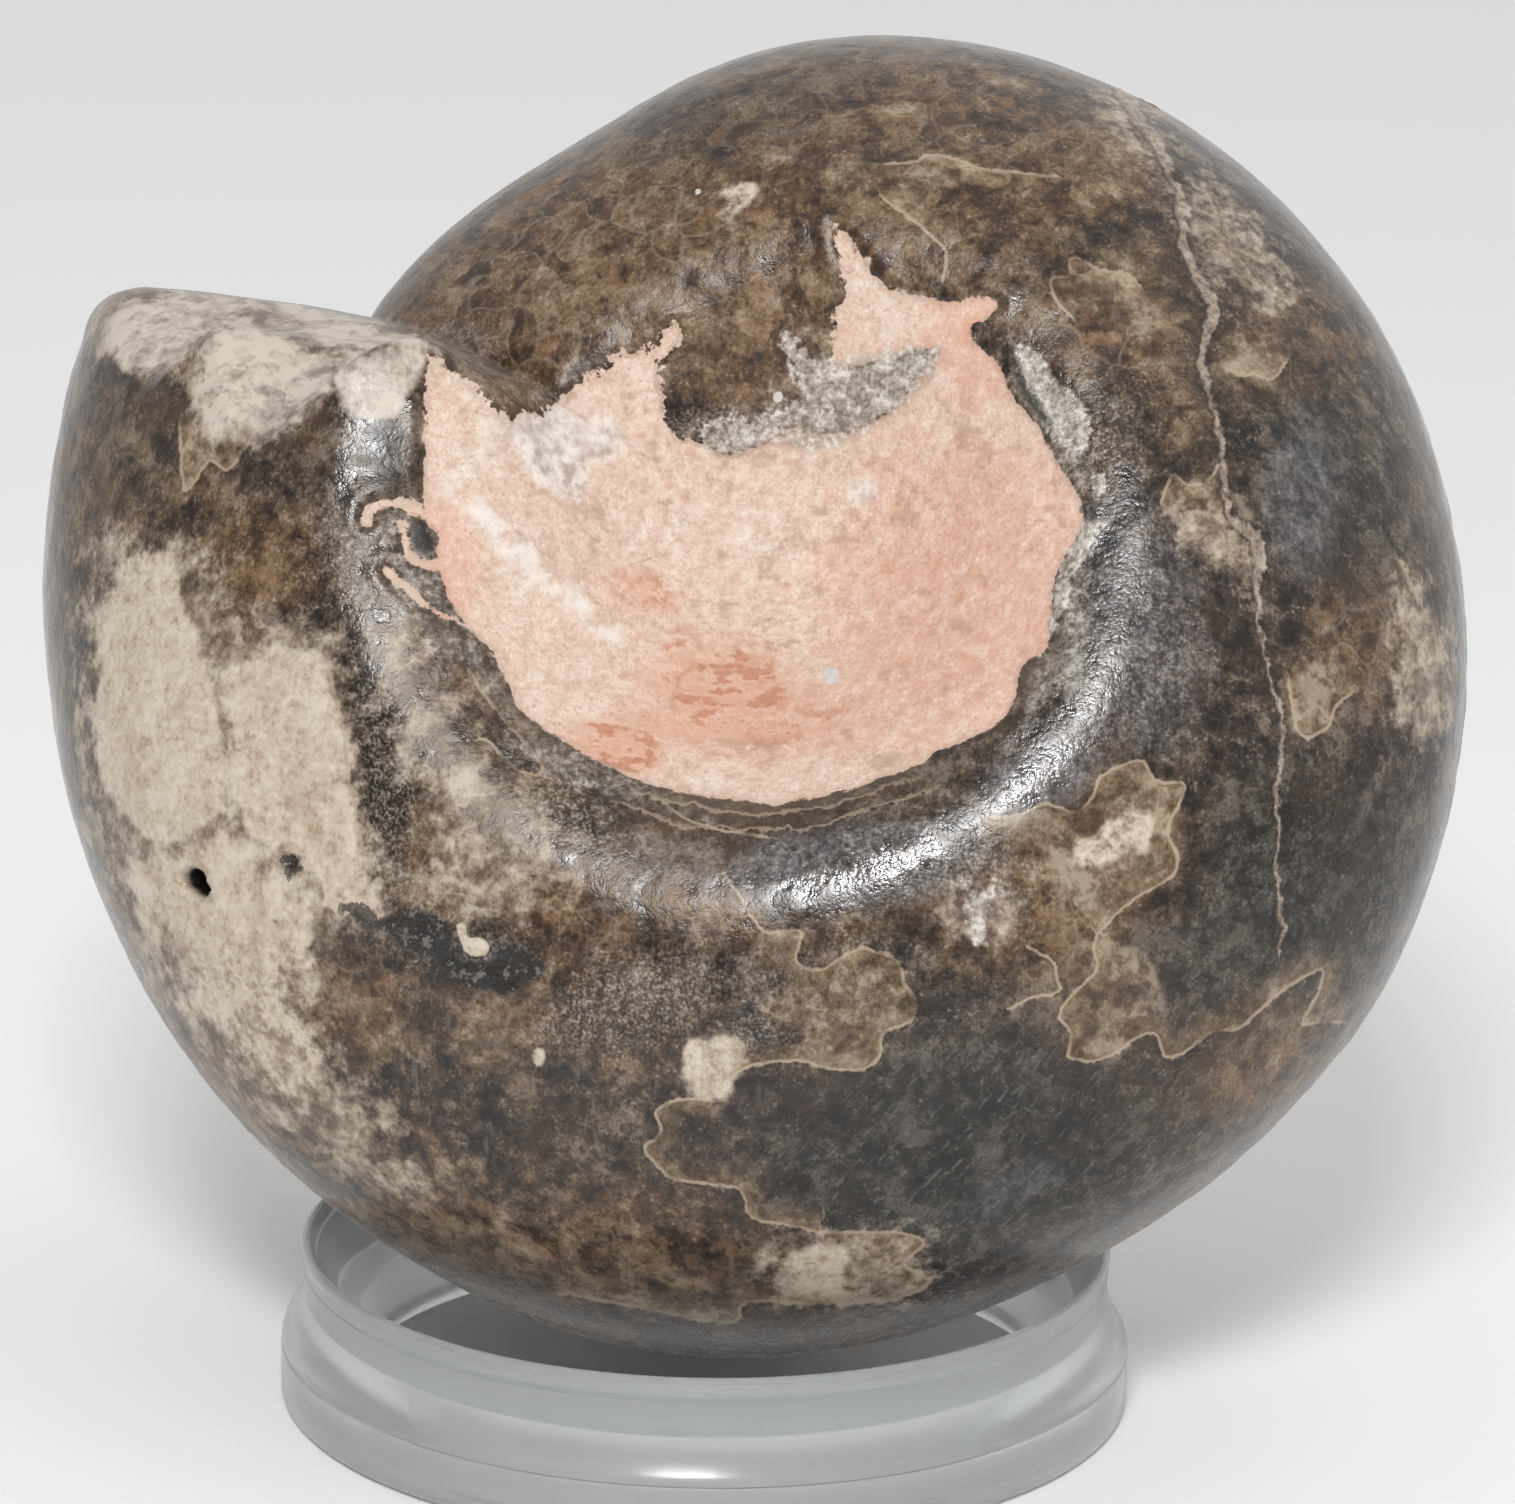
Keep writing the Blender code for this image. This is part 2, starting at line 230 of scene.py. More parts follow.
# Dark spots on the stone; the first outline is painted shadow along the stone's lower edge, just above the
# ring's rim
DARK_SPOT_AND_SHADOW_OUTLINES = (
    ((486, 1328), (520, 1326), (560, 1336), (640, 1346), (760, 1350), (862, 1348), (880, 1366), (700, 1376),
     (560, 1366), (500, 1346)),
    ((276, 855), (284, 850), (292, 855), (302, 854), (300, 866), (306, 874), (296, 872), (286, 880),
     (280, 866)),
    ((336, 908), (352, 902), (372, 908), (384, 918), (404, 914), (425, 912), (452, 928), (450, 950),
     (466, 962), (490, 960), (500, 946), (530, 950), (545, 966), (524, 988), (490, 994), (462, 984),
     (440, 968), (424, 956), (400, 948), (384, 930), (366, 932), (352, 920)),
    ((1014, 356), (1022, 374), (1036, 400), (1050, 420), (1046, 425), (1030, 405), (1017, 382)),
    ((1080, 505), (1098, 502), (1114, 510), (1104, 520), (1086, 520)),
    ((753, 352), (760, 351), (763, 358), (756, 362)),
    ((412, 522), (424, 520), (438, 532), (438, 546), (428, 552), (416, 546)),
)
# (softness of the edge in millimetres, then the outline)
TAN_PATCHES = (
    (1.4, ((1398, 600), (1412, 576), (1428, 606), (1448, 620), (1452, 700), (1430, 744), (1406, 724),
      (1396, 660))),
    (0.9, ((1172, 506), (1196, 500), (1226, 524), (1250, 544), (1256, 580), (1236, 576), (1200, 556),
      (1180, 532))),
    (0.8, ((80, 318), (120, 290), (180, 284), (260, 296), (340, 312), (420, 338), (440, 352), (400, 352),
      (352, 372), (318, 400), (285, 428), (240, 446), (210, 446), (190, 400), (165, 372), (130, 372),
      (104, 352), (84, 350))),
    (2.0, ((95, 548), (140, 538), (188, 548), (230, 600), (330, 640), (352, 740), (374, 860), (384, 905),
      (330, 935), (318, 1000), (338, 1060), (400, 1150), (420, 1190), (330, 1170), (262, 1120), (190, 1060),
      (140, 990), (112, 930), (88, 820), (80, 740), (84, 640))),
    (1.2, ((1104, 92), (1135, 98), (1168, 122), (1180, 152), (1156, 156), (1126, 128))),
    (1.6, ((1186, 188), (1222, 196), (1256, 232), (1290, 290), (1270, 300), (1226, 290), (1202, 262))),
    (2.4, ((380, 640), (420, 650), (440, 690), (470, 740), (520, 790), (560, 850), (520, 900), (470, 905),
      (440, 860), (420, 780), (390, 720))),
    (1.0, ((940, 900), (975, 878), (1010, 886), (1020, 915), (990, 940), (955, 935))),
    (1.5, ((780, 1240), (850, 1238), (925, 1244), (905, 1266), (930, 1284), (880, 1306), (780, 1306))),
)
CREAM_PATCHES = (
    (0.9, ((118, 560), (150, 552), (172, 560), (180, 600), (198, 650), (214, 700), (222, 750), (228, 800),
      (205, 826), (170, 846), (138, 834), (110, 800), (96, 760), (90, 705), (100, 660), (98, 618),
      (106, 590))),
    (1.2, ((228, 668), (262, 650), (300, 655), (324, 668), (337, 710), (346, 770), (352, 820), (363, 870),
      (374, 896), (350, 902), (325, 884), (296, 868), (276, 848), (246, 836), (232, 800), (226, 740),
      (222, 700))),
    (3.0, ((134, 862), (170, 842), (215, 836), (260, 856), (296, 892), (320, 906), (300, 958), (292, 1004),
      (326, 1046), (326, 1086), (300, 1098), (262, 1076), (225, 1044), (188, 998), (158, 950), (138, 905))),
    (0.7, ((689, 1040), (734, 1040), (742, 1064), (728, 1096), (712, 1102), (694, 1096), (684, 1074))),
    (0.9, ((790, 1262), (806, 1248), (838, 1247), (850, 1262), (846, 1290), (870, 1302), (800, 1304))),
    (0.7, ((722, 185), (748, 180), (756, 190), (740, 208), (728, 218), (716, 214), (724, 200))),
    (0.9, ((1074, 846), (1090, 838), (1112, 820), (1140, 812), (1152, 826), (1146, 846), (1120, 850),
      (1104, 862), (1084, 862))),
    (0.9, ((350, 382), (372, 374), (396, 382), (402, 398), (386, 410), (360, 408))),
    (0.2, ((456, 926), (464, 924), (468, 938), (480, 938), (488, 946), (484, 955), (470, 955), (462, 946))),
    (0.3, ((320, 878), (332, 874), (338, 896), (352, 905), (344, 916), (326, 905))),
    (0.3, ((358, 888), (374, 898), (384, 914), (372, 922), (356, 908))),
    (0.3, ((534, 1050), (542, 1050), (545, 1062), (538, 1068), (532, 1060))),
)
CHALK_PATCHES = (
    (0.6, ((784, 330), (800, 344), (815, 358), (832, 362), (871, 356), (917, 346), (942, 350), (928, 378),
      (904, 405), (870, 428), (838, 446), (800, 453), (768, 447), (740, 455), (714, 452), (700, 430),
      (730, 420), (762, 420), (786, 408), (800, 390), (794, 370), (784, 350))),
    (0.3, ((1016, 346), (1036, 349), (1053, 375), (1070, 391), (1086, 408), (1090, 436), (1075, 450),
      (1056, 440), (1040, 422), (1032, 402), (1022, 382))),
    (0.2, ((1090, 478), (1102, 472), (1106, 488), (1096, 496))),
    (0.3, ((1088, 512), (1110, 506), (1114, 516), (1098, 530), (1086, 552), (1072, 580), (1062, 612),
      (1050, 636), (1046, 620), (1054, 590), (1062, 560), (1074, 534))),
    (0.5, ((962, 884), (978, 892), (994, 880), (1002, 890), (990, 902), (998, 914), (984, 924), (988, 940),
      (976, 946), (970, 926), (962, 912), (970, 900))),
)
OCHRE_PATCHES = (
    (1.2, ((884, 170), (930, 160), (968, 172), (958, 196), (920, 208), (888, 198))),
    (1.2, ((855, 1250), (905, 1242), (924, 1246), (904, 1264), (930, 1283), (897, 1300), (858, 1300))),
    (1.5, ((1050, 280), (1075, 260), (1126, 274), (1160, 300), (1150, 330), (1080, 322))),
    (1.5, ((1225, 335), (1286, 335), (1286, 362), (1268, 380), (1238, 374))),
    (1.5, ((1164, 494), (1172, 478), (1212, 470), (1240, 520), (1200, 540), (1170, 520))),
    (1.5, ((1287, 660), (1340, 664), (1334, 710), (1308, 735), (1292, 712))),
    (1.5, ((1050, 820), (1117, 772), (1146, 765), (1180, 792), (1168, 833), (1176, 858), (1120, 905),
      (1070, 900), (1040, 850))),
    (1.6, ((800, 960), (860, 950), (898, 966), (912, 1004), (884, 1034), (868, 1064), (800, 1056),
      (760, 1010))),
    (1.5, ((1070, 960), (1100, 950), (1150, 960), (1150, 1030), (1100, 1058), (1072, 1050))),
    (1.5, ((179, 430), (215, 446), (248, 440), (226, 468), (208, 460), (186, 489))),
    (1.5, ((430, 735), (500, 760), (520, 840), (470, 900), (420, 850), (410, 780))),
    (1.2, ((1396, 560), (1424, 560), (1420, 610), (1398, 606))),
)
# (side of the line that is warm, then its points: 1 is the right-hand side as the
# line travels, -1 the left-hand side and 0 neither)
SUTURES = (
    (1, ((769, 933), (799, 930), (800, 942), (796, 960), (806, 968), (823, 969), (838, 960), (860, 948),
      (875, 951), (894, 959), (902, 973), (904, 986), (919, 1004), (910, 1022), (890, 1030), (881, 1038),
      (881, 1055), (868, 1068), (853, 1071), (827, 1069), (799, 1061), (756, 1065), (740, 1071))),
    (1, ((984, 818), (1020, 815), (1045, 803), (1068, 811), (1081, 810), (1094, 794), (1102, 777),
      (1117, 768), (1132, 760), (1146, 761), (1151, 775), (1163, 783), (1183, 783), (1185, 792),
      (1173, 817), (1168, 833), (1178, 858), (1172, 876), (1148, 891), (1125, 907), (1099, 932))),
    (-1, ((1099, 932), (1094, 950), (1098, 970), (1081, 986), (1062, 1009), (1062, 1021), (1072, 1034),
      (1068, 1055), (1079, 1061), (1102, 1061), (1132, 1042), (1148, 1034), (1158, 1037), (1165, 1057),
      (1186, 1052), (1209, 1034), (1239, 1029), (1260, 1011), (1283, 991), (1318, 972), (1325, 977),
      (1317, 1001), (1303, 1024), (1318, 1024), (1341, 1023))),
    (-1, ((712, 1102), (681, 1100), (658, 1110), (657, 1121), (661, 1134), (644, 1147), (650, 1159),
      (669, 1177), (695, 1183), (734, 1187), (744, 1197), (747, 1211), (759, 1221), (784, 1224),
      (821, 1234))),
    (1, ((821, 1234), (883, 1234), (908, 1236), (925, 1243), (922, 1250), (904, 1264), (914, 1274),
      (933, 1283), (916, 1294), (897, 1302), (869, 1305), (807, 1305), (768, 1302), (742, 1305),
      (737, 1323), (706, 1322), (678, 1316), (644, 1309), (560, 1294))),
    (0, ((1029, 947), (1053, 962), (1057, 979), (1059, 992), (1029, 999), (1009, 1010))),
    (1, ((875, 163), (909, 161), (932, 154), (953, 158), (983, 168), (1014, 172), (1057, 177))),
    (-1, ((881, 180), (880, 195), (904, 213), (932, 236), (946, 254), (942, 279))),
    (1, ((1073, 318), (1057, 300), (1050, 279), (1069, 274), (1070, 259), (1078, 256), (1101, 269),
      (1126, 272), (1141, 284))),
    (-1, ((1230, 368), (1243, 375), (1256, 372), (1273, 379), (1286, 362))),
    (1, ((1162, 500), (1173, 474), (1188, 485), (1206, 482), (1223, 462))),
    (-1, ((1290, 680), (1297, 724), (1308, 737), (1329, 727), (1338, 705), (1352, 694))),
    (-1, ((179, 427), (184, 491), (208, 460), (226, 470), (251, 436))),
    (0, ((669, 807), (693, 821), (724, 830), (767, 836))),
    (-1, ((474, 678), (494, 706), (512, 729), (533, 752), (543, 768), (535, 775), (520, 770), (502, 755),
      (487, 739), (474, 739))),
    (0, ((724, 873), (742, 900), (760, 928), (769, 933))),
    (0, ((1400, 560), (1408, 575), (1420, 600))),
    (0, ((328, 668), (340, 720), (348, 780), (362, 850))),
)
CRACK = (
    (1120, 90), (1152, 134), (1172, 172), (1182, 203), (1185, 239), (1195, 269), (1213, 302), (1210, 328),
    (1203, 361), (1213, 397), (1223, 448), (1227, 497), (1233, 520), (1256, 536), (1259, 559), (1260, 620),
    (1278, 700), (1285, 715), (1283, 746), (1278, 784), (1278, 812), (1281, 838), (1278, 868), (1280, 896),
    (1284, 930), (1280, 955),
)
RED_STROKES = (
    ((672, 630), (690, 624), (702, 642)),
    ((704, 664), (688, 668), (678, 680), (674, 704)),
    ((752, 656), (770, 656), (758, 680)),
    ((796, 704), (818, 709), (840, 706)),
    ((738, 652), (740, 640)),
    ((750, 730), (780, 736), (800, 732)),
)
# Painted highlight along the ridge of the wall in the pink filling
PAINTED_HIGHLIGHT_STREAK = ((450, 480), (491, 520), (531, 560), (565, 591), (617, 634))
# (x, y, half width, half height, tilt in degrees, strength) of soft ellipses
SOFT_AREAS = {
    "brown": (
        (600, 270, 190, 105, -25, 1.0), (770, 160, 130, 60, 0, 0.6), (960, 190, 110, 45, 0, 0.8),
        (1100, 320, 90, 70, 30, 0.7), (740, 330, 80, 70, 0, 0.9), (1060, 880, 130, 80, -20, 0.7),
        (560, 1000, 200, 70, 0, 0.55), (330, 1010, 80, 60, 0, 0.8), (640, 900, 170, 55, 0, 0.6),
        (500, 760, 90, 80, 30, 0.6), (620, 1240, 170, 60, 0, 0.5), (270, 560, 75, 50, 0, 0.8),
        (1360, 640, 60, 60, 0, 0.6), (1290, 350, 80, 60, 0, 0.5), (400, 1200, 120, 80, 30, 0.5),
        (1290, 1060, 90, 50, -30, 0.5), (440, 870, 70, 60, 0, 0.7), (240, 1080, 70, 120, -30, 0.6),
        (760, 370, 110, 50, 0, 0.9), (440, 650, 50, 90, -30, 0.7), (500, 330, 80, 50, -30, 0.7),
        (850, 110, 200, 60, 0, 0.6), (1060, 180, 90, 60, 0, 0.7), (700, 920, 200, 60, 0, 0.4),
        (180, 500, 60, 60, 0, 0.4), (105, 480, 50, 110, 0, 0.6), (400, 500, 34, 60, 0, 0.6),
        (880, 240, 130, 50, 10, 0.9), (800, 290, 50, 60, 0, 0.8), (1180, 420, 50, 60, 0, 0.4),
    ),
    # Painted sheen: where soft highlights and reflections lie on the polish, in places silvery streaks;
    # these parts are also made glossier
    "painted_sheen_and_gloss": (
        (1130, 640, 85, 130, 0, 0.75), (1040, 780, 70, 35, -30, 1.1), (850, 865, 130, 40, -5, 1.2),
        (376, 428, 24, 26, 0, 0.8), (650, 1000, 120, 50, -15, 0.5), (810, 1000, 110, 45, -20, 0.6),
        (1010, 1190, 70, 22, -25, 0.6), (390, 690, 40, 110, 0, 0.2), (700, 870, 120, 30, 10, 0.6),
        (420, 590, 40, 30, 20, 0.4), (1305, 500, 40, 90, 0, 0.8), (470, 350, 60, 30, 40, 0.4),
        (1060, 640, 30, 120, 0, 0.4),
    ),
    "pink_warm": (
        (960, 600, 130, 160, 0, 0.9), (970, 345, 50, 60, 0, 0.9), (620, 745, 45, 22, 10, 1.0),
        (640, 590, 40, 22, 20, 0.7), (770, 715, 140, 40, 0, 0.9), (450, 560, 30, 60, 0, 0.9),
        (690, 680, 60, 50, 0, 0.6),
    ),
    "pink_pale": (
        (556, 446, 34, 50, -25, 1.2), (600, 440, 30, 26, 0, 0.9), (505, 440, 40, 40, 30, 0.5),
        (520, 560, 60, 20, 45, 0.5), (700, 520, 120, 60, 0, 0.35), (860, 490, 18, 14, 0, 0.6),
    ),
    "charcoal": (
        (960, 1150, 210, 110, -10, 1.0), (1300, 880, 130, 120, 0, 0.8), (110, 460, 60, 90, 0, 0.4),
        (470, 960, 60, 35, 0, 0.8), (390, 800, 25, 100, 0, 0.7), (750, 110, 160, 45, -20, 0.4),
        (1330, 480, 70, 140, -20, 0.6), (390, 470, 30, 50, 0, 0.7), (1200, 960, 90, 60, 0, 0.6),
    ),
    "crust": (
        (1060, 470, 30, 50, -20, 1.0), (1066, 610, 22, 80, 0, 1.0), (1042, 400, 34, 56, -25, 1.0),
        (1036, 690, 20, 50, 20, 0.7), (740, 415, 80, 22, 0, 0.5), (600, 420, 60, 60, 0, 1.0),
        (470, 620, 40, 50, 40, 0.9), (600, 770, 110, 24, 20, 0.8), (420, 570, 26, 60, -20, 1.0),
        (840, 390, 70, 36, -20, 1.0), (520, 700, 70, 26, 50, 0.7), (350, 560, 30, 60, 0, 0.5),
        (770, 340, 60, 40, 60, 0.6),
    ),
    "grit": (
        (388, 740, 40, 150, 0, 1.0), (540, 800, 90, 40, 30, 0.9), (400, 480, 40, 60, 0, 0.4),
        (440, 940, 110, 40, 15, 0.7), (640, 1000, 110, 50, -15, 0.9), (810, 1000, 100, 50, -30, 0.9),
        (1120, 640, 90, 140, 0, 0.6), (900, 860, 150, 40, 0, 0.7), (1100, 420, 70, 80, 0, 0.6),
        (480, 350, 60, 30, 40, 0.5), (330, 560, 50, 60, 0, 0.6), (700, 430, 60, 30, 0, 0.8),
    ),
    "moat": (
        (790, 810, 300, 40, 0, 1.0), (1040, 690, 40, 60, 30, 1.0), (1068, 470, 20, 80, -20, 0.3),
        (520, 720, 60, 40, 40, 1.0), (440, 610, 30, 50, -20, 0.4),
    ),
    "crumble": (
        (630, 372, 80, 55, -20, 1.0), (540, 420, 60, 40, 20, 0.8), (850, 290, 30, 70, 0, 0.3),
        (470, 400, 40, 40, 0, 0.5),
    ),
    "red_area": (
        (722, 680, 66, 50, 0, 1.0), (620, 745, 44, 22, 10, 1.2), (700, 722, 120, 16, 0, 1.0),
        (655, 590, 50, 20, 25, 0.5), (990, 318, 40, 12, -20, 0.4),
    ),
}
# (x, y, radius in pixels, depth in millimetres)
HOLES = ((191, 881, 12, 1.8), (198, 890, 9, 1.8), (288, 862, 8, 0.4), (271, 923, 4, 0.4))
PALE_SPOTS = ((829, 671, 8), (697, 190, 3), (778, 397, 5), (520, 424, 3))

# --- Markings of the sides that the photograph doesn't show ---

HIDDEN_DEFAULTS = {
    "pale_face": -FAR_OFF, "crack": FAR_OFF, "crack_width": 0.0, "red": FAR_OFF, "red_on": 0.0,
    "highlight_streak": FAR_OFF, "highlight_streak_on": 0.0, "pink_warm": 0.4, "pink_pale": 0.2, "pits": 0.0, "spots": 0.0,
    "dark": -FAR_OFF, "red_area": 0.0, "chalk": -FAR_OFF, "moat": 0.5, "crumble": 0.3,
}
# (size of the noise, its shift, where the marking begins and is full, strength)
HIDDEN_AREAS = {
    "grit": (9.0 * MM, 111.0, 0.0, 0.7, 1.0), "brown": (10.0 * MM, 41.0, -0.2, 0.5, 1.0),
    "painted_sheen_and_gloss": (12.0 * MM, 61.0, 0.1, 0.8, 0.5), "charcoal": (13.0 * MM, 71.0, 0.1, 0.7, 1.0),
}
FAR_PINK_RADIUS = 14.0 * MM     # the pink filling of the far umbilicus
FAR_PINK_WANDER = 1.8           # millimetres that its edge strays
FAR_CRUST_WIDTH = 3.0 * MM
FAR_CRUST = 0.5
HIDDEN_PATCH_NOISE = (11.0 * MM, 3, 31.0)
HIDDEN_OCHRE_NOISE = (8.0 * MM, 2, 51.0)
FAR_PINK_NOISE = (5.0 * MM, 2, 9.0)
SUTURE_NOISE = (4.0 * MM, 1, 13.0)
SUTURE_GAP_NOISE = (14.0 * MM, 1, 23.0)
SUTURE_GAPS = (-0.35, 0.1)      # the noise over which the lines come in
PATCH_SLOPE = 5.0               # of tan, cream and ochre patches, per unit of noise
TAN_LEVEL = 0.55                # the noise above which a patch lies
CREAM_LEVEL = 0.80
OCHRE_LEVEL = 0.55
SEPTUM_TAN = 1.0
SEPTUM_CREAM = 1.2
SUTURE_STEP = math.radians(21)  # from one septum's line to the next
SUTURE_WANDER = 0.10            # in steps
SUTURE_CENTRE = 6.0 * MM        # radius within which the lines keep their spacing
# (waves in a full turn, height in steps, phase) of the lobes of a suture line
SUTURE_LOBES = ((7.0, 0.30, 0.0), (15.0, 0.16, 1.0), (33.0, 0.08, 0.0))


# --- Form ---

def smoothstep(low, high, value):
    """0 below low, 1 above high, and a smooth rise between."""
    share = np.clip((value - low) / (high - low), 0.0, 1.0)
    return share * share * (3.0 - 2.0 * share)


def bump(angle, centre, width):
    """A bell of height 1."""
    return np.exp(-((angle - centre) / width) ** 2)


def whorl_section(back, turn):
    """Distance from the coil axis, and height over the mid plane."""
    spiral = END_RADIUS * np.exp(-GROWTH * back)
    reach = spiral * (1.0 + sum(share * bump(back, at, width) for at, width, share in SWELLS))
    swell = 1.0 + FAR_SWELL * bump(back, FAR_SWELL_ANGLE, FAR_SWELL_WIDTH)
    is_near = np.cos(turn) > 0.0
    breadth = spiral * np.where(is_near, NEAR_BREADTH, FAR_BREADTH * swell)
    radius = reach * np.abs(np.sin(turn)) ** ROUNDNESS
    height = breadth * np.sign(np.cos(turn)) * np.abs(np.cos(turn)) ** ROUNDNESS
    floor = np.where(is_near, NEAR_FLOOR, -FAR_FLOOR)
    fill = 1.0 - smoothstep(FLOOR_EDGE, SHOULDER_EDGE, radius / reach)
    return radius, height * (1.0 - fill) + floor * fill


def points_at(radius, angle, height):
    """Points from cylinder coordinates about the local upright axis."""
    return np.stack([radius * np.cos(angle), radius * np.sin(angle), height], axis=-1)


def rim_setback(turn):
    """How far the septum's rim is cut back at each turn: its flutes."""
    share = np.abs(np.sin(turn)) ** ROUNDNESS
    places, depths = zip(*RIM_FLUTES)
    index = np.clip(np.searchsorted(places, share, side="right") - 1, 0, len(places) - 2)
    blend = smoothstep(np.take(places, index), np.take(places, index + 1), share)
    depth = np.take(depths, index) * (1.0 - blend) + np.take(depths, index + 1) * blend
    return np.where(np.cos(turn) > 0.0, depth, depth * FAR_FLUTE_SHARE)


def fold_along(x, y, line):
    """Height of a rounded fold of height 1 along a line, and the share along the line."""
    line = np.array(line) * MM
    lengths = np.linalg.norm(np.diff(line, axis=0), axis=1)
    nearest = np.full(x.shape, np.inf)
    along = np.zeros(x.shape)
    for start, end, length, done in zip(line, line[1:], lengths, np.cumsum(lengths) - lengths):
        step = (end - start) / length
        reach = np.clip((x - start[0]) * step[0] + (y - start[1]) * step[1], 0.0, length)
        gap = np.hypot(x - start[0] - reach * step[0], y - start[1] - reach * step[1])
        along = np.where(gap < nearest, (done + reach) / lengths.sum(), along)
        nearest = np.minimum(nearest, gap)
    return bump(nearest, 0.0, FOLD_HALF_WIDTH), along


def matrix_relief(x, y):
    """Height added to the near side: the wall's ridge and furrow, and a fold."""
    ridge, along_ridge = fold_along(x, y, WALL_RIDGE)
    furrow, along_furrow = fold_along(x, y, WALL_FURROW)
    fold, along_fold = fold_along(x, y, PALE_FOLD)
    relief = RIDGE_HEIGHT * ridge * (1.0 - along_ridge) ** RIDGE_FADE
    relief -= FURROW_DEPTH * furrow * (1.0 - along_furrow) ** FURROW_FADE
    return relief + FOLD_HEIGHT * fold * np.sin(math.pi * along_fold)


def curve_through(start, middle, end, share):
    """A point on the quadratic curve from start to end, drawn towards the middle."""
    return start * (1.0 - share) ** 2 + middle * 2.0 * share * (1.0 - share) + end * share ** 2


def shell_rows(turn):
    """Rows of points, pole to pole, round the whorl and over the septum."""
    inner_end = 2.0 * math.pi - END_OVERLAP
    end_radius = whorl_section(np.zeros_like(turn), turn)[0]
    rim_angle = rim_setback(turn) / np.maximum(end_radius, FLAT_RADIUS / 2.0)
    rim_angle = np.minimum(rim_angle, LARGEST_RIM_ANGLE)
    rounding_angle = RIM_ROUNDING / np.maximum(end_radius, FLAT_RADIUS)

    def flank(back):
        shifted = back + rim_angle * np.maximum(0.0, 1.0 - back / FLUTE_FADE) ** 2
        radius, height = whorl_section(shifted, turn)
        return points_at(radius, END_ANGLE + shifted, height)

    rim_radius, rim_height = whorl_section(rim_angle, turn)
    inner_radius, inner_height = whorl_section(np.full_like(turn, inner_end), turn)
    end_share = np.abs(np.sin(turn)) ** ROUNDNESS
    dish = SEPTUM_DISH + SADDLE_DISH * bump(end_share, SADDLE_PLACE, SADDLE_WIDTH)

    def septum(share):
        radius = rim_radius * (1.0 - share) + inner_radius * share
        height = rim_height * (1.0 - share) + inner_height * share
        lean = rim_angle * (1.0 - share) ** 2 - END_OVERLAP * share ** LEAN_POWER
        return points_at(radius, END_ANGLE + lean + dish * np.sin(math.pi * share), height)

    width = 2.0 * np.linalg.norm(septum(0.5) - septum(0.0), axis=-1)
    rounded_share = RIM_ROUNDING / np.maximum(width, LEAST_WIDTH * RIM_ROUNDING)
    ends = flank(rounding_angle), flank(0.0), septum(rounded_share)

    rows = []
    for step in np.linspace(0.0, 1.0, BODY_ROWS):
        rows.append(flank(inner_end * (1.0 - step) + rounding_angle * step))
    for step in np.arange(1, ROUNDING_ROWS + 1) / (ROUNDING_ROWS + 1):
        rows.append(curve_through(*ends, step))
    for step in np.linspace(0.0, 1.0, SEPTUM_ROWS, endpoint=False):
        rows.append(septum(rounded_share + (1.0 - rounded_share) * step))
    grid = np.array(rows)
    is_near = np.cos(turn) > 0.0
    grid[:, is_near, 2] += matrix_relief(grid[:, is_near, 0], grid[:, is_near, 1])
    return grid


def turning(angle, first, second):
    """The rotation from one axis towards another."""
    matrix = np.eye(3)
    matrix[first, first] = matrix[second, second] = math.cos(angle)
    matrix[first, second] = -math.sin(angle)
    matrix[second, first] = math.sin(angle)
    return matrix


def tilt_matrix():
    """The rotation that takes the coil's own frame to the row's frame."""
    return turning(-AXIS_SWING, 0, 1) @ turning(math.pi / 2.0 - AXIS_RISE, 1, 2)


def grid_normals(grid):
    """Outward unit normals of a grid that closes on itself from last row to first."""
    along_rows = np.roll(grid, -1, axis=0) - np.roll(grid, 1, axis=0)
    normals = np.cross(along_rows, np.gradient(grid, axis=1))
    lengths = np.linalg.norm(normals, axis=-1, keepdims=True)
    normals /= np.maximum(lengths, 1e-15)
    outward = (normals * (grid - grid.mean(axis=(0, 1)))).sum(axis=-1)
    return normals if outward.mean() > 0.0 else -normals


# --- Noise ---

LATTICE_SIZE = 48
LATTICE = np.random.default_rng(11).random((LATTICE_SIZE,) * 3) * 2.0 - 1.0
LAYER_SHIFT = 17.3


def value_noise(points, size, shift):
    """Smooth noise from -1 to 1 with features of the given size."""
    scaled = points / size + shift
    cell = np.floor(scaled).astype(int)
    part = smoothstep(0.0, 1.0, scaled - cell)
    ends = (cell % LATTICE_SIZE, (cell + 1) % LATTICE_SIZE)
    weights = (1.0 - part, part)
    total = np.zeros(points.shape[:-1])
    for x, y, z in np.ndindex(2, 2, 2):
        corner = LATTICE[ends[x][..., 0], ends[y][..., 1], ends[z][..., 2]]
        total += corner * weights[x][..., 0] * weights[y][..., 1] * weights[z][..., 2]
    return total


def layered_noise(points, size, layers, shift):
    """Value noise with finer, weaker layers on top."""
    total = np.zeros(points.shape[:-1])
    for layer in range(layers):
        total += value_noise(points, size / 2.0 ** layer, shift + LAYER_SHIFT * layer) / 2.0 ** layer
    return total


# --- Distances in the photograph's frame ---

def camera_axes():
    """Place, right, up and backward directions of the camera."""
    backward = np.array([0.0, -math.cos(CAMERA_PITCH), math.sin(CAMERA_PITCH)])
    level_right = np.array([1.0, 0.0, 0.0])
    level_up = np.cross(backward, level_right)
    right = math.cos(CAMERA_ROLL) * level_right + math.sin(CAMERA_ROLL) * level_up
    up = math.cos(CAMERA_ROLL) * level_up - math.sin(CAMERA_ROLL) * level_right
    return CAMERA_TARGET + backward * CAMERA_DISTANCE, right, up, backward


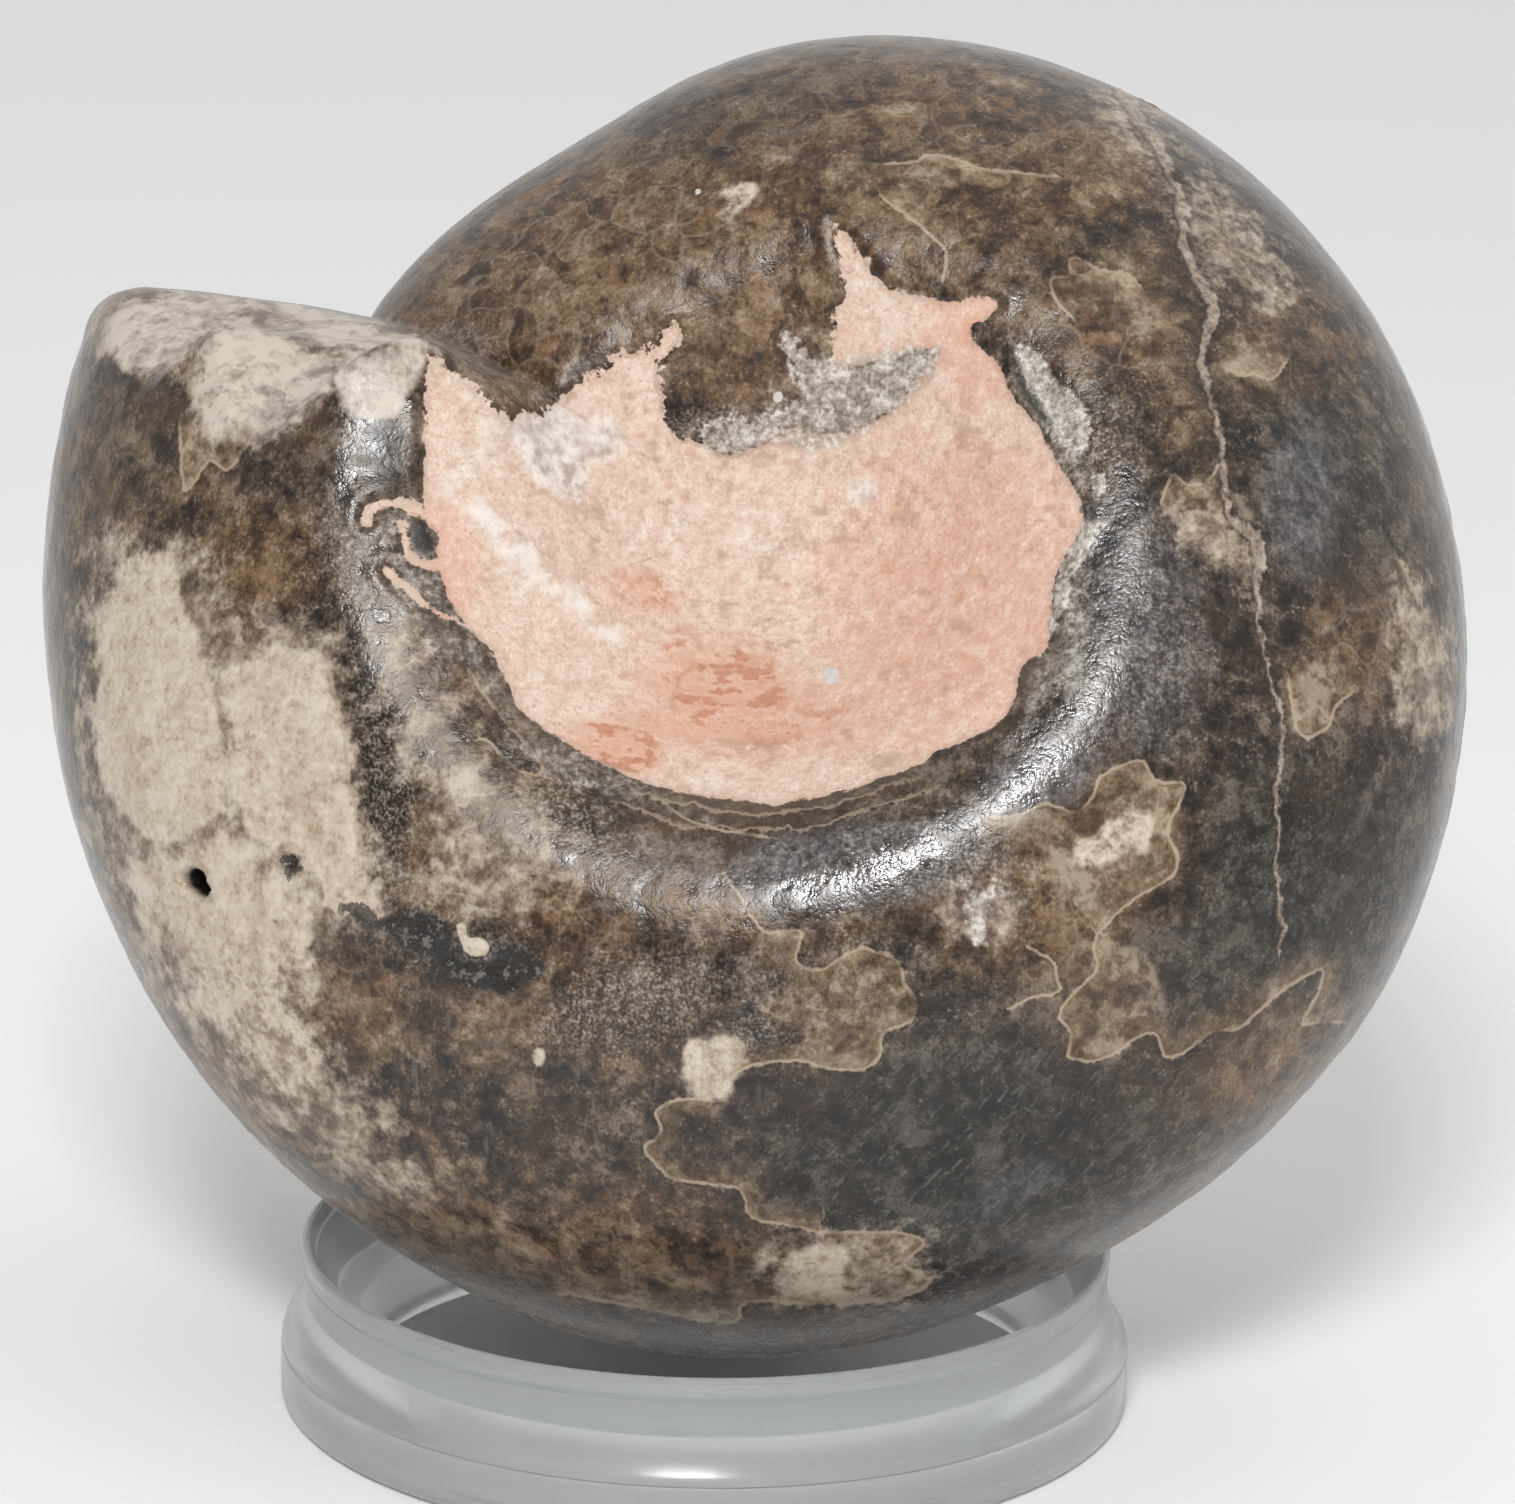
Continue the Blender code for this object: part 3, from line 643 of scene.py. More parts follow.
def photo_pixels(points):
    """Where points fall in the photograph."""
    place, right, up, backward = camera_axes()
    focal = CAMERA_LENS / CAMERA_SENSOR * PHOTO_WIDTH
    offset = points - place
    depth = -(offset @ backward)
    x = PHOTO_WIDTH / 2.0 + focal * (offset @ right) / depth
    y = PHOTO_HEIGHT / 2.0 - focal * (offset @ up) / depth
    return np.stack([x, y], axis=-1)


def smooth_line(points, closed, steps=3):
    """A Catmull-Rom curve through the points."""
    points = np.array(points, float)
    count = len(points)
    padded = points[np.arange(-1, count + 2) % count] if closed else points[[0, *range(count), -1]]
    curve = []
    for before, start, end, after in zip(padded, padded[1:], padded[2:], padded[3:]):
        for share in np.arange(steps) / steps:
            curve.append(0.5 * (
                2.0 * start + (end - before) * share
                + (2.0 * before - 5.0 * start + 4.0 * end - after) * share ** 2
                + (3.0 * start - before - 3.0 * end + after) * share ** 3
            ))
    if not closed:
        curve.append(points[-1])
    return np.array(curve)


def outline_distance(pixels, outline):
    """Millimetres that pixels lie inside a closed outline, negative outside."""
    curve = smooth_line(outline, closed=True)
    nearest = np.full(len(pixels), np.inf)
    inside = np.zeros(len(pixels), bool)
    for start, end in zip(curve, np.roll(curve, -1, axis=0)):
        span = end - start
        share = ((pixels - start) @ span) / max(span @ span, 1e-12)
        offset = pixels - start - np.clip(share, 0.0, 1.0)[:, None] * span
        nearest = np.minimum(nearest, np.hypot(offset[:, 0], offset[:, 1]))
        crosses = (start[1] > pixels[:, 1]) != (end[1] > pixels[:, 1])
        if start[1] != end[1]:
            at = start[0] + (pixels[:, 1] - start[1]) * span[0] / span[1]
            inside ^= crosses & (pixels[:, 0] < at)
    return np.where(inside, nearest, -nearest) * PIXEL / MM


def line_distance(pixels, line):
    """Signed millimetres from an open line, and how far it is in force."""
    curve = smooth_line(line, closed=False)
    score = np.full(len(pixels), np.inf)
    signed = np.zeros(len(pixels))
    beyond = np.zeros(len(pixels))
    last = len(curve) - 2
    for index, (start, end) in enumerate(zip(curve, curve[1:])):
        length = np.hypot(*(end - start))
        step = (end - start) / length
        offset = pixels - start
        reach = offset @ step
        across = step[0] * offset[:, 1] - step[1] * offset[:, 0]
        before = np.maximum(-reach, 0.0)
        after = np.maximum(reach - length, 0.0)
        gap = np.hypot(across, before + after)
        this_score = gap - 1e-3 * np.abs(across)
        closer = this_score < score
        score = np.where(closer, this_score, score)
        signed = np.where(closer, np.where(across < 0.0, -gap, gap), signed)
        beyond = np.where(closer, before * (index == 0) + after * (index == last), beyond)
    return signed * PIXEL / MM, 1.0 - smoothstep(0.0, LINE_FADE, beyond)


def soft_areas(pixels, areas):
    """The strongest of some soft ellipses at each pixel."""
    total = np.zeros(len(pixels))
    for x, y, half_width, half_height, tilt, strength in areas:
        tilt = math.radians(tilt)
        dx = pixels[:, 0] - x
        dy = pixels[:, 1] - y
        along = (dx * math.cos(tilt) + dy * math.sin(tilt)) / half_width
        across = (dy * math.cos(tilt) - dx * math.sin(tilt)) / half_height
        fall = AREA_FALL * (along ** 2 + across ** 2) ** AREA_POWER
        total = np.maximum(total, strength * np.exp(-fall))
    return total


# --- Markings as values on the stone's points ---

def near_box(pixels, outline):
    """Indices of the pixels in an outline's box, grown by a margin."""
    low = np.min(outline, axis=0) - NEAR_MARGIN
    high = np.max(outline, axis=0) + NEAR_MARGIN
    return np.nonzero(np.all((pixels > low) & (pixels < high), axis=1))[0]


def patches_value(pixels, patches, limit=PATCH_LIMIT):
    """How deep inside its soft edge each pixel lies, for patches of (edge, outline)."""
    value = np.full(len(pixels), -limit)
    for edge, outline in patches:
        close = near_box(pixels, outline)
        inside = outline_distance(pixels[close], outline) / edge
        value[close] = np.maximum(value[close], np.clip(inside, -limit, limit))
    return value


def outlines_value(pixels, outlines):
    """Millimetres inside the nearest of some closed outlines, negative outside."""
    return patches_value(pixels, [(1.0, outline) for outline in outlines], FAR_OFF)


def faded(distance, force, warm):
    """The force of a line, and of the glow beside it, as they fade away from the line."""
    away = np.abs(distance)
    return force * (1.0 - smoothstep(*SUTURE_FADE, away)), warm * (1.0 - smoothstep(*GLOW_FADE, away))


def lines_value(pixels, sided_lines):
    """Signed millimetres from the nearest line, its force, and its warm side's force."""
    distance = np.full(len(pixels), FAR_OFF)
    force = np.zeros(len(pixels))
    warm = np.zeros(len(pixels))
    score = np.full(len(pixels), 2.0 * FAR_OFF)
    for side, line in sided_lines:
        close = near_box(pixels, line)
        gap, on = line_distance(pixels[close], line)
        this_score = np.abs(gap) + FAR_OFF * (1.0 - on)
        better = this_score < score[close]
        chosen = close[better]
        score[chosen] = this_score[better]
        distance[chosen] = gap[better] * (side or 1)
        force[chosen] = on[better]
        warm[chosen] = on[better] * abs(side)
    return distance, *faded(distance, force, warm)


def crack_value(points, pixels):
    """Signed millimetres from the crack, and half its width: wide above, then thin and lumpy."""
    distance, force = line_distance(pixels, CRACK)
    row = pixels[:, 1]
    wide = 1.0 - CRACK_NARROWING * smoothstep(*CRACK_NARROWS, row)
    narrow = CRACK_NARROW_SHARE + CRACK_SWELLING * bump(row, CRACK_THINS_AT, CRACK_SWELLING_ROWS)
    wide = np.where(row > CRACK_NARROW_ROW, narrow, wide)
    wide *= 1.0 - smoothstep(CRACK_THINS_AT, CRACK_THINS_AT + CRACK_TAPER, row)
    lumps = np.clip(CRACK_USUAL + CRACK_UNEVENNESS * layered_noise(points, *CRACK_NOISE), *CRACK_LUMPS)
    return distance, force * (HAIRLINE + CRACK_HALF_WIDTH * wide * lumps)


def front_values(points, pixels):
    """Every marking that shows in the photograph, at points that face the camera."""
    values = {name: soft_areas(pixels, areas) for name, areas in SOFT_AREAS.items()}
    for name, patches in (("cream", CREAM_PATCHES), ("tan", TAN_PATCHES), ("chalk", CHALK_PATCHES),
                          ("ochre", OCHRE_PATCHES)):
        values[name] = patches_value(pixels, patches)
    for name, outlines in (("pink", PINK_OUTLINES), ("pale_face", PALE_FACES), ("dark", DARK_SPOT_AND_SHADOW_OUTLINES)):
        values[name] = outlines_value(pixels, outlines)
    values["pink"] += PINK_WANDER * layered_noise(points, *PINK_EDGE_NOISE)
    for name, lines in (("suture", SUTURES), ("red", [(0, stroke) for stroke in RED_STROKES]),
                        ("highlight_streak", [(0, PAINTED_HIGHLIGHT_STREAK)])):
        values[name], values[name + "_on"], values[name + "_warm"] = lines_value(pixels, lines)
    values["crack"], values["crack_width"] = crack_value(points, pixels)
    values["pits"] = np.zeros(len(pixels))
    for x, y, radius, depth in HOLES:
        away = np.hypot(pixels[:, 0] - x, pixels[:, 1] - y) / radius
        values["pits"] = np.maximum(values["pits"], depth * (1.0 - smoothstep(*HOLE_EDGES, away)))
    spots = [(x, y, radius, radius, 0, 1.0) for x, y, radius in PALE_SPOTS]
    values["spots"] = soft_areas(pixels, spots)
    return values


def noise_patches(noise, level):
    """How deep inside a patch each point lies, where the patches are noise above a level."""
    return np.clip(PATCH_SLOPE * (noise - level), -PATCH_LIMIT, PATCH_LIMIT / 2.0)


def hidden_values(grid, local, back, turn):
    """Markings of the sides that the photograph doesn't show, from formulas and noise."""
    values = {name: np.full(back.shape, value) for name, value in HIDDEN_DEFAULTS.items()}
    for name, (size, shift, low, high, strength) in HIDDEN_AREAS.items():
        values[name] = strength * smoothstep(low, high, layered_noise(grid, size, 2, shift))
    coarse = layered_noise(grid, *HIDDEN_PATCH_NOISE)
    from_axis = np.hypot(local[..., 0], local[..., 1])
    wander = FAR_PINK_WANDER * layered_noise(grid, *FAR_PINK_NOISE)
    far_disc = (FAR_PINK_RADIUS - from_axis) / MM + wander
    values["pink"] = np.where(local[..., 2] < 0.0, np.clip(far_disc, -FAR_OFF, FAR_OFF), -FAR_OFF)
    values["crust"] = FAR_CRUST * bump(from_axis, FAR_PINK_RADIUS, FAR_CRUST_WIDTH)
    on_septum = back < 0.0
    values["tan"] = SEPTUM_TAN * on_septum + noise_patches(coarse, TAN_LEVEL)
    values["cream"] = SEPTUM_CREAM * on_septum + noise_patches(coarse, CREAM_LEVEL)
    values["ochre"] = noise_patches(layered_noise(grid, *HIDDEN_OCHRE_NOISE), OCHRE_LEVEL)
    lobes = sum(height * np.sin(waves * turn + phase) for waves, height, phase in SUTURE_LOBES)
    place = back / SUTURE_STEP - lobes + SUTURE_WANDER * layered_noise(grid, *SUTURE_NOISE)
    spacing = SUTURE_STEP * np.maximum(from_axis, SUTURE_CENTRE) / MM
    values["suture"] = np.sin(2.0 * math.pi * place) * spacing / (2.0 * math.pi)
    broken = smoothstep(*SUTURE_GAPS, layered_noise(grid, *SUTURE_GAP_NOISE)) * ~on_septum
    values["suture_on"], values["suture_warm"] = faded(values["suture"], broken, broken)
    return values


def stone_values(grid, normals, local, back, turn):
    """Each marking over the whole stone: the photograph's where it faces, else the formulas'."""
    values = hidden_values(grid, local, back, turn)
    sight = camera_axes()[0] - grid
    sight /= np.linalg.norm(sight, axis=-1, keepdims=True)
    front = smoothstep(*FRONT_EDGES, (normals * sight).sum(axis=-1))
    seen = front > 0.0
    shown = front_values(grid[seen], photo_pixels(grid[seen]))
    for name, value in values.items():
        value[seen] += (shown[name] - value[seen]) * front[seen]
    return values


def relief(grid, values):
    """Metres to move each point along its normal."""
    pink = values["pink"]
    width = values["crack_width"]
    lift = WAVE_HEIGHT * (layered_noise(grid, *WAVE_NOISE) - 1.0)
    grain_share = SMOOTH_SHARE + (1.0 - SMOOTH_SHARE) * values["brown"]
    lift += GRAIN_HEIGHT * layered_noise(grid, *GRAIN_NOISE) * grain_share
    lift += LIP_HEIGHT * bump(pink, -LIP_PLACE, LIP_WIDTH)
    pink_floor = PINK_GRAIN_HEIGHT * layered_noise(grid, *PINK_GRAIN_NOISE) - PINK_DEPTH
    lift += (pink_floor - lift) * smoothstep(*PINK_STEP, pink)
    on_crack = 1.0 - smoothstep(*CRACK_EDGES, np.abs(values["crack"]) / np.maximum(width, LEAST_CRACK))
    lift += CRACK_HEIGHT * on_crack * smoothstep(*CRACK_RAISED, width)
    return (lift - values["pits"]) * MM


# --- Meshes ---

def add_object(name, data):
    """An object with the given data, in the scene."""
    made = bpy.data.objects.new(name, data)
    bpy.context.scene.collection.objects.link(made)
    return made


def add_mesh(name, vertices, faces, surface):
    """A smooth-shaded mesh object of one material."""
    mesh = bpy.data.meshes.new(name)
    mesh.from_pydata(vertices, [], faces)
    mesh.shade_smooth()
    mesh.materials.append(surface)
    return add_object(name, mesh)


def strip_faces(index):
    """Quads between each row of a grid of indices and the next; the last row meets the first."""
    below = np.roll(index, -1, axis=0)
    quads = np.stack([index[:, :-1], below[:, :-1], below[:, 1:], index[:, 1:]], axis=-1)
    return quads.reshape(-1, 4).tolist()


def band_piece(name, grid, normals, values, first, last, surface):
    """A piece from a band of columns, with a point at the pole where the band reaches one."""
    rows, columns = grid.shape[:2]
    width = last - first + 1
    poles = [column for column in (first, last) if column in (1, columns - 2)]

    def in_band(field):
        flat = field[:, first:last + 1].reshape(rows * width, -1)
        return np.vstack([flat, *(field[:, pole].mean(axis=0) for pole in poles)])

    index = np.arange(rows * width).reshape(rows, width)
    faces = strip_faces(index)
    for pole in poles:
        ring = index[:, pole - first]
        pair = (ring, np.roll(ring, -1)) if pole == last else (np.roll(ring, -1), ring)
        faces += [[rows * width, *edge] for edge in zip(*(side.tolist() for side in pair))]
    piece = add_mesh(name, in_band(grid), faces, surface)
    for key, value in values.items():
        layer = piece.data.attributes.new(key, "FLOAT", "POINT")
        layer.data.foreach_set("value", in_band(value).ravel().astype(np.float32))
    band_normals = in_band(normals)
    band_normals /= np.linalg.norm(band_normals, axis=-1, keepdims=True)
    piece.data.normals_split_custom_set_from_vertices(band_normals)
    return piece


def stone_pieces(surface):
    """The whole stone, in three bands of columns from the near pole to the far one."""
    turn = np.concatenate([
        np.linspace(0.0, BOWL_EDGE, BOWL_POINTS, endpoint=False),
        np.linspace(BOWL_EDGE, math.pi / 2.0, FLANK_POINTS, endpoint=False),
        np.linspace(math.pi / 2.0, math.pi, FAR_POINTS),
    ])
    local = shell_rows(turn)
    grid = local @ tilt_matrix().T + RING_CENTRE + AMMONITE_FROM_RING
    rows, columns = grid.shape[:2]
    back = np.full((rows, columns), -1.0)
    back[:BODY_ROWS] = (2.0 * math.pi - END_OVERLAP) * np.linspace(1.0, 0.0, BODY_ROWS)[:, None]
    normals = grid_normals(grid)
    values = stone_values(grid, normals, local, back, np.broadcast_to(turn, back.shape))
    grid = grid + normals * relief(grid, values)[..., None]
    normals = grid_normals(grid)
    edges = (1, columns // 3, 2 * columns // 3, columns - 2)
    names = ("stone_bowl", "stone_flank", "stone_back")
    return [
        band_piece(name, grid, normals, values, first, last, surface)
        for name, first, last in zip(names, edges, edges[1:])
    ]


def ring_outline():
    """The ring wall's outline as (radius, height), with its edges slightly rounded."""
    foot = np.array((RING_BASE_RADIUS, RING_FOOT_HEIGHT))
    waist = np.array((RING_COVE_RADIUS, RING_COVE_HEIGHT))
    rim = np.array((RING_RIM_RADIUS, RING_HEIGHT - RING_EDGE_BREAK))
    foot_groove = RING_FOOT_HEIGHT - FOOT_GROOVE_DROP
    rim_groove = RING_HEIGHT - RIM_GROOVE_DROP
    wall = RING_RIM_RADIUS - RING_WALL_SETBACK
    lip_below, lip_above = RIM_GROOVE_LIPS
    cove = [curve_through(foot, waist, rim, step) for step in np.linspace(COVE_START, 1.0, COVE_STEPS)]
    cove = [tuple(point) for point in cove if abs(point[1] - rim_groove) > RIM_GROOVE_WIDTH]
    cove += [
        (wall, rim_groove - lip_below * RIM_GROOVE_WIDTH),
        (wall - GROOVE_DEPTH, rim_groove),
        (wall + LIP_OFFSET, rim_groove + lip_above * RIM_GROOVE_WIDTH),
    ]
    return [
        (RING_BASE_RADIUS - RING_EDGE_BREAK, 0.0),
        (RING_BASE_RADIUS - RING_EDGE_ROUNDING, RING_EDGE_ROUNDING),
        (RING_BASE_RADIUS, RING_EDGE_BREAK),
        (RING_BASE_RADIUS, foot_groove - FOOT_GROOVE_WIDTH),
        (RING_BASE_RADIUS - GROOVE_DEPTH, foot_groove),
        (RING_BASE_RADIUS - LIP_OFFSET, foot_groove + FOOT_GROOVE_WIDTH),
        *sorted(cove, key=lambda point: point[1]),
        (RING_RIM_RADIUS - RING_EDGE_ROUNDING, RING_HEIGHT - RING_EDGE_ROUNDING),
        (RING_RIM_RADIUS - RING_EDGE_BREAK, RING_HEIGHT),
        (RING_RIM_RADIUS - RING_RIM_WIDTH, RING_HEIGHT - LIP_OFFSET),
        (RING_BORE_RADIUS + SEAT_SETBACK, RING_BEVEL_HEIGHT + SEAT_ROUNDING),
        (RING_BORE_RADIUS, RING_BEVEL_HEIGHT - SEAT_DROP),
        (RING_BORE_RADIUS, BORE_EDGE_BREAK),
        (RING_BORE_RADIUS + BORE_EDGE_BREAK, 0.0),
    ]


def ring_piece(surface):
    """The ring stand, turned finely about its upright axis."""
    radius, height = np.array(ring_outline()).T
    angles = np.arange(RING_STEPS)[:, None] * 2.0 * math.pi / RING_STEPS
    vertices = points_at(radius, angles, np.broadcast_to(height, (RING_STEPS, len(height)))) + RING_CENTRE
    index = np.arange(vertices[..., 0].size).reshape(RING_STEPS, -1)
    faces = strip_faces(np.hstack([index, index[:, :1]]))
    ring = add_mesh("ring", vertices.reshape(-1, 3), faces, surface)
    ring.data.set_sharp_from_angle(angle=SHARP_ANGLE)
    return ring


# --- Materials ---

class Field:
    """A value of a material's nodes that takes part in sums and products."""

    def __init__(self, paint, socket):
        self.paint = paint
        self.socket = socket

    def __add__(self, other):
        return self.paint.math("ADD", self, other)

    def __sub__(self, other):
        return self.paint.math("SUBTRACT", self, other)

    def __mul__(self, other):
        return self.paint.math("MULTIPLY", self, other)

    def __abs__(self):
        return self.paint.math("ABSOLUTE", self)

    def rise(self, low, high):
        """0 at low, 1 at high and a smooth rise between; low may exceed high."""
        inputs = {"Value": self, "From Min": low, "From Max": high}
        made = self.paint.add("ShaderNodeMapRange", inputs, interpolation_type="SMOOTHSTEP")
        return Field(self.paint, made.outputs["Result"])


class Paint:
    """Short names for the nodes of a material or world."""

    def __init__(self, owner):
        self.owner = owner
        owner.use_nodes = True
        self.tree = owner.node_tree
        self.tree.nodes.clear()
        self.place = self.add("ShaderNodeTexCoord").outputs["Object"]

    def add(self, kind, inputs=None, **settings):
        """A node with its settings, its inputs fed by fields, outputs or constants."""
        made = self.tree.nodes.new(kind)
        for key, value in settings.items():
            setattr(made, key, value)
        for key, value in (inputs or {}).items():
            socket = made.inputs[key]
            if isinstance(value, Field):
                value = value.socket
            if isinstance(value, bpy.types.NodeSocket):
                self.tree.links.new(value, socket)
            else:
                socket.default_value = (*value, 1.0) if socket.type == "RGBA" else value
        return made

    def math(self, operation, first, second=0.0):
        """The result of a math node."""
        made = self.add("ShaderNodeMath", {0: first, 1: second}, operation=operation)
        return Field(self, made.outputs[0])

    def value(self, name):
        """A vertex attribute."""
        made = self.add("ShaderNodeAttribute", attribute_name=name)
        return Field(self, made.outputs["Fac"])

    def stretched(self, stretch, turn=(0.0, 0.0, 0.0)):
        """The object's coordinates, turned and then scaled along the axes."""
        turned = self.add("ShaderNodeMapping", {"Vector": self.place, "Rotation": turn})
        made = self.add("ShaderNodeMapping", {"Vector": turned.outputs["Vector"], "Scale": stretch})
        return made.outputs["Vector"]

    def jostled(self, scale, amount):
        """The object's coordinates, pushed about by noise."""
        drift = self.add("ShaderNodeTexNoise", {"Vector": self.place, "Scale": scale, "Detail": 0.0})
        shift = {0: drift.outputs["Color"], "Scale": amount}
        push = self.add("ShaderNodeVectorMath", shift, operation="SCALE")
        moved = self.add("ShaderNodeVectorMath", {0: self.place, 1: push.outputs[0]}, operation="ADD")
        return moved.outputs[0]

    def noise(self, scale, detail=2.0, roughness=0.5, place=None):
        """Noise from 0 to 1, centred on a half; the scale is in features per metre."""
        inputs = {"Vector": place or self.place, "Scale": scale, "Detail": detail, "Roughness": roughness}
        return Field(self, self.add("ShaderNodeTexNoise", inputs).outputs["Fac"])

    def cells(self, scale, place):
        """Two random values for each of the cells that a point may fall in."""
        made = self.add("ShaderNodeTexVoronoi", {"Vector": place, "Scale": scale})
        parts = self.add("ShaderNodeSeparateColor", {0: made.outputs["Color"]})
        return Field(self, parts.outputs[0]), Field(self, parts.outputs[1])

    def cell_borders(self, scale, place):
        """Distance to the nearest border of the same cells, in cells."""
        inputs = {"Vector": place, "Scale": scale}
        made = self.add("ShaderNodeTexVoronoi", inputs, feature="DISTANCE_TO_EDGE")
        return Field(self, made.outputs["Distance"])

    def ramp(self, value, *stops):
        """A colour that runs through stops of (value, red, green, blue)."""
        made = self.add("ShaderNodeValToRGB", {0: value})
        line = made.color_ramp.elements
        for index, (position, *colour) in enumerate(stops):
            stop = line[index] if index < 2 else line.new(position)
            stop.position = position
            stop.color = (*colour, 1.0)
        return made.outputs["Color"]

    def overlaid(self, colour, *layers):
        """A colour with layers of (colour, share) mixed over it in turn."""
        for above, share in layers:
            made = self.add("ShaderNodeMix", {0: share, 6: colour, 7: above}, data_type="RGBA")
            colour = made.outputs[2]
        return colour

    def bumpy(self, height, strength, distance):
        """The surface's normal, tilted by the slope of a height."""
        inputs = {"Height": height, "Strength": strength, "Distance": distance}
        return self.add("ShaderNodeBump", inputs).outputs[0]

    def finish(self, **inputs):
        """The material, from its shader's inputs, named with _ where the shader has a blank."""
        inputs = {key.replace("_", " "): value for key, value in inputs.items()}
        shader = self.add("ShaderNodeBsdfPrincipled", inputs)
        self.add("ShaderNodeOutputMaterial", {"Surface": shader.outputs[0]})
        return self.owner


